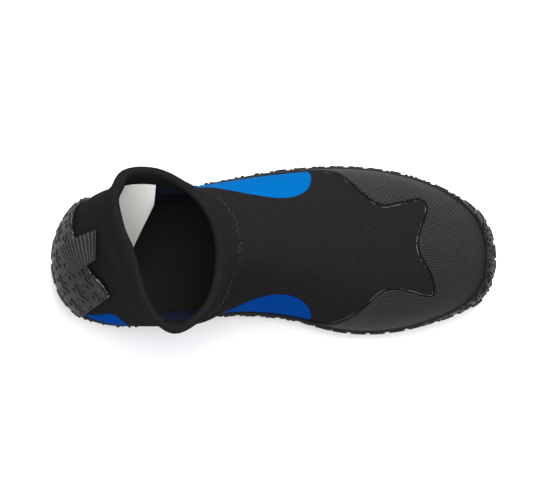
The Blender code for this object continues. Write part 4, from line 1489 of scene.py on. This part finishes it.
def sheet_faces(points, border, height, up):
    """Faces that close a foot-shaped border at a height over the sole's curve. Their points join `points`."""
    half = len(border) // 2
    rows = []
    for k in range(half + 1):
        if k in (0, half):
            rows.append([border[k]] * (SHEET_COLUMNS + 1))
            continue
        near, far = np.array(points[border[k]]), np.array(points[border[-k]])
        row = [border[k]]
        for step in range(1, SHEET_COLUMNS):
            point = near + (far - near) * step / SHEET_COLUMNS
            point[2] = height + sole_rise(point[0], point[1])
            row.append(len(points))
            points.append(point)
        rows.append([*row, border[-k]])
    faces = []
    for first, second in zip(rows, rows[1:]):
        for j in range(SHEET_COLUMNS):
            face = tuple(dict.fromkeys((first[j], second[j], second[j + 1], first[j + 1])))
            if len(face) > 2:
                faces.append(face if up else face[::-1])
    return faces


def lug_arm(arm, half, turn, section):
    """Points and faces of one bent arm that leaves the lug's middle at a turn."""
    sides = [(-side, height) for side, height in section] + list(section[::-1])
    points, faces = [], []
    for step in range(LUG_ARM_STEPS + 1):
        share = step / LUG_ARM_STEPS
        bend = turn + math.radians(LUG_CURVE_DEG) * share**LUG_CURVE_POWER
        taper = 1 - (1 - LUG_TAPER) * share
        width = half * taper * math.sqrt(1 - LUG_END_CUT * share**LUG_END_POWER)
        for side, height in sides:
            x, y = arm * share, side * width
            across = (x * math.cos(bend) - y * math.sin(bend), x * math.sin(bend) + y * math.cos(bend))
            points.append((*across, lug_level(height)))
    for step in range(LUG_ARM_STEPS):
        faces += ring_faces(step * len(sides), len(sides))
    return points, faces + end_faces(len(points), len(sides))


def lug_dot(arm, radius, turn):
    """Points and faces of one dot, at a turn round the lug's middle."""
    middle = DOT_PLACE * arm * np.array([math.cos(turn), math.sin(turn)])
    points, faces = [], []
    for share, height in DOT_SECTION:
        ring = middle + share * radius * ring_of(DOT_SIDES)
        points += [(*place, lug_level(height)) for place in ring]
    for level in range(len(DOT_SECTION) - 1):
        faces += ring_faces(level * DOT_SIDES, DOT_SIDES)
    return points, faces + end_faces(len(points), DOT_SIDES)


def lug_level(height):
    """Millimetres for a section's height, which is a share of the lug's or a depth below 0."""
    return LUG_HEIGHT * height if height > 0 else height


def end_faces(count, sides):
    """The first and last ring of a stack of rings with `count` points, as faces."""
    return [tuple(range(sides)), tuple(range(count - sides, count))]


def lug_mesh(sizes, section):
    """One lug with its face up, in millimetres: its arms, the first along x, and a dot between each two."""
    arm, half = sizes.lug_arm / MM, sizes.lug_width / MM / 2
    step = 2 * math.pi / LUG_ARMS
    between = step / 2 + math.radians(LUG_CURVE_DEG) / 2
    forms = [lug_arm(arm, half, step * i, section) for i in range(LUG_ARMS)]
    forms += [lug_dot(arm, sizes.dot / MM, step * i + between) for i in range(LUG_ARMS)]
    points, faces = [], []
    for form_points, form_faces in forms:
        faces += [tuple(len(points) + i for i in face) for face in form_faces]
        points += form_points
    return np.array(points), faces


def staggered(low, high, pitch, rows):
    """Places of a staggered grid over a rectangle."""
    places = []
    for row in range(int((high[1] - low[1]) / rows) + 1):
        for place in range(int((high[0] - low[0]) / pitch) + 1):
            places.append((low[0] + (place + 0.5 * (row % 2)) * pitch, low[1] + row * rows))
    return np.array(places)


def nearest_ribs(places, edge):
    """The rib number, between whole columns too, where a closed edge comes nearest to each place."""
    best = np.full(len(places), np.inf)
    ribs = np.zeros(len(places))
    for i, (start, end) in enumerate(zip(edge, np.roll(edge, -1, axis=0))):
        share, far = to_segment(places, start, end)
        closer = far < best
        best[closer] = far[closer]
        ribs[closer] = (i + share[closer]) / RIB_PARTS
    return ribs


def sole_edge():
    """The feather line from above, a point for each column."""
    return wall_foot(COLUMN_RIBS)[0][:, :2]


def roll_length():
    return lengths_along(roll_profile())[-1]


def sheet_room(plan):
    """How far places on the flat sheet lie inside its trimmed top edge, or at the heel below the flap."""
    edge = sole_edge()
    ribs = nearest_ribs(plan, edge)
    past = RAND_TUCK - loop_depth(plan, edge) - roll_length()
    behind = ribs - RIBS
    on_flap = (FLAP_FIRST_RIB < behind) & (behind < FLAP_LAST_RIB)
    return np.where(on_flap, 0.0, band_top(ribs) - BAND_TRIM) - past


def flap_room(plan):
    """How far places on the unrolled heel flap lie inside its trimmed edge."""
    return loop_depth(plan, flap_plan())


def trim_lugs(thing, room):
    """Cuts lugs that are still flat where the room for them ends, and closes the cuts."""
    mesh = thing.data
    write_mark(mesh, "room", room(read_points(mesh)[:, :2]))
    form = open_form(mesh)
    layer = form.verts.layers.float["room"]
    split_at(form, layer, 0.0)
    drop_below(form, layer)
    bmesh.ops.holes_fill(form, edges=[edge for edge in form.edges if edge.is_boundary])
    close_form(form, mesh)


def wrap_sheet(flat):
    """Takes places and heights on the flat sheet under the sole, round its edge and up the band."""
    edge = sole_edge()
    plan = flat[:, :2]
    ribs = nearest_ribs(plan, edge)
    past = RAND_TUCK - loop_depth(plan, edge)
    relief = flat[:, 2] * (1 - (1 - SIDE_RELIEF) * ease(past, 0, roll_length()))
    wrapped = np.column_stack([plan, LUG_HEIGHT + sole_rise(plan[:, 0], plan[:, 1]) - relief])
    profile = roll_profile()
    run = lengths_along(profile)
    rolled = (past > 0) & (past <= run[-1])
    base, out = wall_foot(ribs[rolled])
    section = read_line(profile, run, past[rolled])
    ahead = unit(read_line(np.gradient(profile, run, axis=0), run, past[rolled]))
    section += np.column_stack([ahead[:, 1], -ahead[:, 0]]) * relief[rolled, None]
    wrapped[rolled] = base + section[:, :1] * out + section[:, 1:] * np.array([0.0, 0.0, 1.0])
    upright = past > run[-1]
    heights = past[upright] - run[-1]
    wrapped[upright] = on_skin(ribs[upright], heights, GLUE_GAP + RAND_WALL + relief[upright])[0]
    return wrapped


def heel_rib_length():
    """Distance between ribs at the heel back."""
    return float(np.linalg.norm(np.diff(on_skin([RIBS, RIBS + 1], [0.0, 0.0])[0], axis=0)))


def flap_plan():
    """The flap's trimmed outline unrolled: distance round the heel from its back, and height."""
    loop = flap_loop() - (RIBS, 0)
    loop = np.vstack([(FLAP_FIRST_RIB, 0.0), loop, (FLAP_LAST_RIB, 0.0)])
    loop[:, 0] *= heel_rib_length()
    middle = loop.mean(axis=0)
    return loop - FLAP_TRIM * unit(loop - middle)


def wrap_flap(flat):
    """Takes places on the unrolled heel flap, with their heights over it, to the heel."""
    ribs = RIBS + flat[:, 0] / heel_rib_length()
    return on_skin(ribs, flat[:, 1], FLAP_GAP + RAND_WALL + FLAP_RELIEF * flat[:, 2])[0]


def tread_places(sizes):
    """Lug places on the flat sheet and on the unrolled flap."""
    pitch, rows = sizes.lug_pitch / MM, sizes.lug_rows / MM
    edge = sole_edge()
    sole = staggered(edge.min(axis=0) - 2 * pitch, edge.max(axis=0) + 2 * pitch, pitch, rows) + SOLE_SHIFT
    heel = staggered((-FLAP_WIDTH / 2, -pitch), (FLAP_WIDTH / 2, FLAP_WIDTH), pitch, rows) + FLAP_SHIFT
    return sole[sheet_room(sole) > -LUG_REACH], heel[flap_room(heel) > -LUG_REACH]


def turns_of(normals, ways):
    """Euler turns that bring z to each normal and x towards each way."""
    turns = []
    for normal, way in zip(normals, ways):
        ahead = unit(way - normal * (way @ normal))
        aside = np.cross(normal, ahead)
        turns.append(Matrix(np.column_stack([ahead, aside, normal])).to_euler())
    return turns


def geometry_tree(name, settings):
    """A new geometry node group on a mesh: the group, its start node and the identifiers of its settings."""
    tree = bpy.data.node_groups.new(name, "GeometryNodeTree")
    tree.interface.new_socket("Mesh", in_out="INPUT", socket_type="NodeSocketGeometry")
    sockets = [
        tree.interface.new_socket(setting, in_out="INPUT", socket_type=kind)
        for setting, kind in settings.items()
    ]
    tree.interface.new_socket("Result", in_out="OUTPUT", socket_type="NodeSocketGeometry")
    return tree, node(tree, "NodeGroupInput"), [socket.identifier for socket in sockets]


def end_tree(tree, shapes, finish):
    """Ends a geometry node group: its shapes become real and take their finish."""
    real = node(tree, "GeometryNodeRealizeInstances", {"Geometry": shapes})
    inputs = {"Geometry": real.outputs["Geometry"], "Material": finish}
    dressed = node(tree, "GeometryNodeSetMaterial", inputs)
    node(tree, "NodeGroupOutput", {"Result": dressed.outputs["Geometry"]})


def vectors_node(tree, mark):
    """The vectors that the points of a mesh carry under a name."""
    made = node(tree, "GeometryNodeInputNamedAttribute", {"Name": mark}, data_type="FLOAT_VECTOR")
    return made.outputs["Attribute"]


def scatter_tree(name):
    """Geometry nodes that put a shape on every point of a mesh, turned and sized by the point's numbers."""
    settings = {"Shape": "NodeSocketObject", "Finish": "NodeSocketMaterial"}
    tree, start, identifiers = geometry_tree(name, settings)
    source = node(tree, "GeometryNodeObjectInfo", {"Object": start.outputs["Shape"]})
    inputs = {
        "Points": start.outputs["Mesh"],
        "Instance": source.outputs["Geometry"],
        "Rotation": vectors_node(tree, "turn"),
        "Scale": vectors_node(tree, "size"),
    }
    spread = node(tree, "GeometryNodeInstanceOnPoints", inputs)
    end_tree(tree, spread.outputs["Instances"], start.outputs["Finish"])
    return tree, identifiers


def scatter(name, shape_points, shape_faces, points, turns, sizes, material):
    """A plain mesh of one shape repeated on points, made by geometry nodes."""
    shape = new_object(name + "_shape", shape_points * MM, shape_faces)
    turn_faces_out(shape)
    thing = new_piece(name, points, [])
    write_vectors(thing.data, "turn", turns)
    write_vectors(thing.data, "size", sizes)
    tree, (shape_input, finish_input) = scatter_tree(name + "_nodes")
    run_nodes(thing, tree, {shape_input: shape, finish_input: material})
    bpy.data.objects.remove(shape)
    return thing


class BOOTIE_OT_tread(Operator):
    """Three-armed lugs and dots over the sole, its edge and the heel flap"""

    bl_idname = "bootie.tread"
    bl_label = "Tread"

    def execute(self, context):
        sizes = context.scene.bootie_sizes
        material = bpy.data.materials["sole_rubber"]
        sole, heel = tread_places(sizes)
        for name, section, places, turn, room, wrap in (
            ("sole_lugs", LUG_SECTION, sole, 0.0, sheet_room, wrap_sheet),
            ("heel_lugs", SOFT_SECTION, heel, -math.pi / 2, flap_room, wrap_flap),
        ):
            points = np.column_stack([places, np.zeros(len(places))])
            turns = [(0.0, 0.0, turn)] * len(places)
            shape = lug_mesh(sizes, section)
            thing = scatter(name, *shape, points, turns, [(1.0, 1.0, 1.0)] * len(places), material)
            trim_lugs(thing, room)
            flat = read_points(thing.data)
            # The crest mark lets the rubber lighten the lugs' tops: painted light on the crests, and on the
            # sole's lugs also scuffing
            write_mark(thing.data, "crest", np.clip(flat[:, 2] / LUG_HEIGHT, 0, 1))
            write_points(thing.data, wrap(flat))
            turn_faces_out(thing)
            finish_piece(thing, material, "outsole_rubber", sharp=0)
        return {"FINISHED"}


class BOOTIE_OT_foot_bed(Operator):
    """Foot bed inside, on the sole's floor"""

    bl_idname = "bootie.foot_bed"
    bl_label = "Foot bed"

    def execute(self, context):
        base, out = wall_foot(COLUMN_RIBS)
        rim = base - INSOLE_INSET * out
        count = len(rim)
        points = [*rim, *(rim + (0, 0, INSOLE_WALL))]
        walls = [(i, (i + 1) % count, count + (i + 1) % count, count + i) for i in range(count)]
        walls += sheet_faces(points, list(range(count)), FEATHER_HEIGHT, up=False)
        walls += sheet_faces(points, list(range(count, 2 * count)), FEATHER_HEIGHT + INSOLE_WALL, up=True)
        thing = new_piece("foot_bed", points, walls)
        round_edges(thing, FOOT_BED_ROUNDING)
        colour = context.scene.bootie_colours.foot_bed
        material = plain_cloth_material("foot_bed_cloth", colour, size=0.7, depth=0.2, roughness=0.9)
        finish_piece(thing, material, "insole_foam", "insole")
        return {"FINISHED"}


def loop_sheet(root, face, out, up, rib_relief):
    """Points of one face of the heel loop, row by row along its centre line, with rounded side edges."""
    lean, twist = math.radians(LOOP_LEAN_DEG), math.radians(LOOP_TWIST_DEG)
    ways = unit(np.column_stack([np.gradient(out), np.gradient(up)]))
    across = np.linspace(-1, 1, LOOP_ACROSS + 1)
    edge_round = np.sqrt(np.clip(1 - np.abs(across) ** LOOP_EDGE_POWER, 0, 1))
    rows = []
    for i in range(LOOP_STEPS + 1):
        turn = twist * out[i] / out.max()
        aside = np.array([-math.sin(turn), math.cos(turn), 0.0])
        half = face * edge_round * (LOOP_WALL / 2 + rib_relief[i])
        away = out[i] - half * ways[i, 1]
        high = up[i] + half * ways[i, 0]
        middle = root + np.column_stack([-away * math.cos(lean), -away * math.sin(lean), high])
        rows.append(middle + across[:, None] * LOOP_WIDTH / 2 * aside)
    return np.vstack(rows)


class BOOTIE_OT_heel_loop(Operator):
    """Ribbed webbing loop at the heel"""

    bl_idname = "bootie.heel_loop"
    bl_label = "Heel loop"

    def execute(self, context):
        sizes = context.scene.bootie_sizes
        root = on_skin([RIBS], [LOOP_ROOT_HEIGHT], np.array([LOOP_ROOT_CLEAR]))[0][0]
        share = np.linspace(0, 1, LOOP_STEPS + 1)
        out, up = (lookup(PULL_LOOP, "share", name, share) for name in ("out", "up"))
        run = lengths_along(np.column_stack([out, up]))
        rib_pitch = sizes.webbing_rib / MM
        rib = 0.5 + 0.5 * np.cos(2 * math.pi * run / rib_pitch)
        relief = sizes.webbing_relief / MM * (rib - 0.5)
        sheets = [loop_sheet(root, face, out, up, relief) for face in (1, -1)]
        points, walls = shell(*sheets, grid_faces(LOOP_STEPS, LOOP_ACROSS))
        marks = {"rib": np.tile(np.repeat(rib, LOOP_ACROSS + 1), 2)}
        thing = new_piece("heel_loop", points, walls, marks)
        turn_faces_out(thing)
        wide, long = np.meshgrid(np.linspace(-1, 1, LOOP_ACROSS + 1) * LOOP_WIDTH / 2, run + rib_pitch / 2)
        write_weave(thing.data, np.tile(np.column_stack([wide.ravel(), long.ravel()]), (2, 1)))
        material = webbing_material(context.scene.bootie_colours, rib_pitch)
        finish_piece(thing, material, "loop_webbing", "pull_loop", sharp=60)
        return {"FINISHED"}


class BOOTIE_OT_label(Operator):
    """Bare satin label that hangs under the lateral hem"""

    bl_idname = "bootie.label"
    bl_label = "Label"

    def execute(self, context):
        slope = math.radians(LABEL_SLOPE_DEG)
        down = np.array([0.0, -math.cos(slope), -math.sin(slope)])
        upward = np.array([0.0, -math.sin(slope), math.cos(slope)])
        ribs = np.linspace(LABEL_FIRST_RIB, LABEL_LAST_RIB, LABEL_STEPS + 1)
        whole = np.arange(LABEL_FIRST_RIB, LABEL_LAST_RIB + 1)
        hem = np.interp(ribs, whole, [rib_line(r)[2][BODY_STEPS + HEM_FIRST_SHARE - 1] for r in whole])
        roots, _ = on_skin(ribs, hem - GLUE_GAP, np.full(len(ribs), -UPPER_WALL - GLUE_GAP - LABEL_WALL))
        share = side = np.linspace(0, 1, LABEL_STEPS + 1)
        lengths = np.interp(side, (0, LABEL_FULL_SHARE), (LABEL_SHORT, LABEL_LONG))
        rows = []
        for i in range(LABEL_STEPS + 1):
            curl = LABEL_CURL * np.sin(math.pi * share) * math.cos(2 * math.pi * LABEL_WAVES * side[i])
            rows.append(roots[i] + (share * lengths[i])[:, None] * down + curl[:, None] * upward)
        top = np.array(rows).reshape(-1, 3)
        faces = grid_faces(LABEL_STEPS, LABEL_STEPS)
        thing = new_piece("label_flap", *shell(top, top - LABEL_SHEET * upward, faces))
        turn_faces_out(thing)
        colour = context.scene.bootie_colours.label
        material = plain_cloth_material("label_satin", colour, size=0.5, depth=0.05, roughness=0.5)
        finish_piece(thing, material, "label_satin", "size_label")
        return {"FINISHED"}


def stitch_tree():
    """Geometry nodes that run a round thread along a line, moved off it by its points' own offsets."""
    settings = {"Thread radius": "NodeSocketFloat", "Finish": "NodeSocketMaterial"}
    tree, start, identifiers = geometry_tree("zigzag_thread", settings)
    line = node(tree, "GeometryNodeMeshToCurve", {"Mesh": start.outputs["Mesh"]})
    inputs = {"Geometry": line.outputs["Curve"], "Offset": vectors_node(tree, "offset")}
    moved = node(tree, "GeometryNodeSetPosition", inputs)
    inputs = {"Resolution": THREAD_SIDES, "Radius": start.outputs["Thread radius"]}
    ring = node(tree, "GeometryNodeCurvePrimitiveCircle", inputs)
    inputs = {"Curve": moved.outputs["Geometry"], "Profile Curve": ring.outputs["Curve"]}
    tube = node(tree, "GeometryNodeCurveToMesh", inputs)
    end_tree(tree, tube.outputs["Mesh"], start.outputs["Finish"])
    return tree, identifiers


def seat_on_upper(path):
    """The nearest places on the upper's outer face, and its normals there."""
    upper = bpy.data.objects["upper_shell"].data
    outer = read_mark(upper, "inner") < OUTER_MARK
    faces = [face.vertices[:] for face in upper.polygons if all(outer[i] for i in face.vertices)]
    tree = BVHTree.FromPolygons([vert.co for vert in upper.vertices], faces)
    found = [tree.find_nearest(Vector(point)) for point in placed(path)]
    seats = np.array([spot for spot, _, _, _ in found]) / MM - shift()
    return seats, np.array([normal for _, normal, _, _ in found])


class BOOTIE_OT_stitches(Operator):
    """Zigzag stitching over the instep, in front of the collar"""

    bl_idname = "bootie.stitches"
    bl_label = "Hem stitches"

    def execute(self, context):
        sizes = context.scene.bootie_sizes
        line = curve_through(HEM_SEAM, SEAM_SAMPLES)
        count = STITCH_POINTS * int(lengths_along(line)[-1] / (sizes.stitch_pitch / MM)) + 1
        seats, normals = seat_on_upper(curve_through(line, count))
        aside = np.cross(normals, unit(np.gradient(seats, axis=0)))
        step = np.arange(count) % STITCH_POINTS
        side = ((step == 0) * 1.0 - (step == STITCH_POINTS // 2)) * sizes.stitch_reach / MM
        rise = np.where(step % 2 == 1, THREAD_RISE, -THREAD_DIP)
        links = [(i, i + 1) for i in range(count - 1)]
        thing = new_object("hem_stitches", placed(seats), [], links)
        write_vectors(thing.data, "offset", (aside * side[:, None] + normals * rise[:, None]) * MM)
        material = thread_material(context.scene.bootie_colours)
        tree, (radius_input, finish_input) = stitch_tree()
        run_nodes(thing, tree, {radius_input: sizes.thread, finish_input: material})
        finish_piece(thing, material, "upper_neoprene", sharp=0)
        return {"FINISHED"}


def speck_shape():
    """A small flattened blob."""
    ring = ring_of(SPECK_SIDES)
    foot = [(*place, SPECK_FOOT) for place in ring]
    shoulder = [(*place, SPECK_SHOULDER_HEIGHT) for place in SPECK_SHOULDER * ring]
    crown = 2 * SPECK_SIDES
    faces = ring_faces(0, SPECK_SIDES)
    faces += [(second, third, crown) for _, second, third, _ in faces]
    faces.append(tuple(range(SPECK_SIDES)))
    return np.array([*foot, *shoulder, (0.0, 0.0, SPECK_CROWN)]), faces


class BOOTIE_OT_glue_specks(Operator):
    """Dried glue along the top edge of the heel flap"""

    bl_idname = "bootie.glue_specks"
    bl_label = "Glue specks"

    def execute(self, context):
        draw = np.random.default_rng(SPECK_SEED)
        wanted = context.scene.bootie_sizes.specks
        points, normals, sizes = [], [], []
        while len(points) < wanted:
            across = draw.random()
            out = draw.uniform(*SPECK_REACH)
            rib, height = flap_place(np.array([across]), np.array([SPECK_HEIGHT]))
            spots, ways = on_skin(rib, height, np.array([out]))
            stray = draw.normal(0.0, SPECK_STRAY, 3)
            size = draw.uniform(*SPECK_SIZES)
            stretch = draw.uniform(*SPECK_STRETCH)
            if noise.noise(Vector(spots[0] / SPECK_GAPS)) < SPECK_SPREAD:
                continue
            points.append(spots[0] + stray - ways[0] * (stray @ ways[0]))
            normals.append(ways[0])
            sizes.append((size * stretch, size, size * SPECK_STRETCH[0]))
        spin = draw.normal(0.0, 1.0, (len(points), 3))
        turns = turns_of(np.array(normals), spin)
        colour = context.scene.bootie_colours.glue
        material = plain_cloth_material("dried_glue", colour, size=0.6, depth=0.05, roughness=0.45)
        thing = scatter("glue_specks", *speck_shape(), np.array(points), turns, sizes, material)
        finish_piece(thing, material, "upper_neoprene", sharp=0)
        return {"FINISHED"}


def lay_floor(colour):
    """The pale studio floor."""
    corners = [(x * FLOOR_HALF, y * FLOOR_HALF, 0.0) for x, y in ((-1, -1), (1, -1), (1, 1), (-1, 1))]
    floor = new_object("floor", corners, [(0, 1, 2, 3)])
    material, tree, shader = new_material("studio_floor", roughness=0.9, gloss=0.1)
    soft = two_tone(tree, grain(tree, FLOOR_PATCH, detail=1.0), colour, dark=FLOOR_SHADE, pale=1.0)
    feed(tree, shader.inputs["Base Color"], soft)
    floor.data.materials.append(material)


def hang_lamps():
    """Soft round lamps, turned to the bootie."""
    for lamp in LAMPS:
        light = bpy.data.lights.new(lamp.name, "AREA")
        light.shape = "DISK"
        light.size = lamp.size
        light.energy = lamp.power
        thing = add_object(lamp.name, light)
        thing.location = lamp.place
        thing.rotation_euler = (Vector(LAMP_AIM) - Vector(lamp.place)).to_track_quat("-Z", "Y").to_euler()


def white_sky():
    """An even white sky."""
    world = bpy.data.worlds.new("soft_sky")
    world.use_nodes = True
    sky = world.node_tree.nodes["Background"]
    sky.inputs["Color"].default_value = (1.0, 1.0, 1.0, 1.0)
    sky.inputs["Strength"].default_value = SKY
    return world


def aimed_camera():
    """The photograph's camera."""
    tilt, roll = math.radians(CAMERA_TILT_DEG), math.radians(CAMERA_ROLL_DEG)
    back = Vector((-math.sin(tilt), -math.sin(roll) * math.cos(tilt), math.cos(tilt) * math.cos(roll)))
    back.normalize()
    right = (Vector((1, 0, 0)) - back * back.x).normalized()
    data = bpy.data.cameras.new("camera")
    data.sensor_width = CAMERA_SENSOR
    data.lens = CAMERA_SENSOR * CAMERA_DISTANCE / (IMAGE_WIDTH * METRES_PER_PIXEL)
    camera = add_object("camera", data)
    turn = Matrix((right, back.cross(right), back)).transposed().to_4x4()
    camera.matrix_world = Matrix.Translation(Vector(CAMERA_TARGET) + back * CAMERA_DISTANCE) @ turn
    return camera


class BOOTIE_OT_stage(Operator):
    """Floor, soft lights and the photograph's camera"""

    bl_idname = "bootie.stage"
    bl_label = "Stage"

    def execute(self, context):
        scene = context.scene
        lay_floor(scene.bootie_colours.floor)
        hang_lamps()
        scene.world = white_sky()
        scene.view_settings.view_transform = "Standard"
        scene.camera = aimed_camera()
        return {"FINISHED"}


class BOOTIE_PT_panel(Panel):
    """Lists the bootie's pieces, sizes and colours"""

    bl_idname = "BOOTIE_PT_panel"
    bl_label = "Wetsuit bootie"
    bl_space_type = "VIEW_3D"
    bl_region_type = "UI"
    bl_category = "Bootie"

    def draw(self, context):
        layout = self.layout
        for operator in OPERATORS:
            layout.operator(operator.bl_idname)
        for group in (context.scene.bootie_sizes, context.scene.bootie_colours):
            for name in group.__annotations__:
                layout.prop(group, name)


OPERATORS = (
    BOOTIE_OT_upper,
    BOOTIE_OT_toe_cap,
    BOOTIE_OT_outsole,
    BOOTIE_OT_tread,
    BOOTIE_OT_foot_bed,
    BOOTIE_OT_heel_loop,
    BOOTIE_OT_label,
    BOOTIE_OT_stitches,
    BOOTIE_OT_glue_specks,
    BOOTIE_OT_stage,
)
CLASSES = (BootieSizes, BootieColours, *OPERATORS, BOOTIE_PT_panel)


def register():
    for kind in CLASSES:
        bpy.utils.register_class(kind)
    bpy.types.Scene.bootie_sizes = PointerProperty(type=BootieSizes)
    bpy.types.Scene.bootie_colours = PointerProperty(type=BootieColours)


def unregister():
    del bpy.types.Scene.bootie_colours
    del bpy.types.Scene.bootie_sizes
    for kind in reversed(CLASSES):
        bpy.utils.unregister_class(kind)


def main():
    register()
    for operator in OPERATORS:
        group, name = operator.bl_idname.split(".")
        getattr(getattr(bpy.ops, group), name)()


if __name__ == "__main__":
    main()
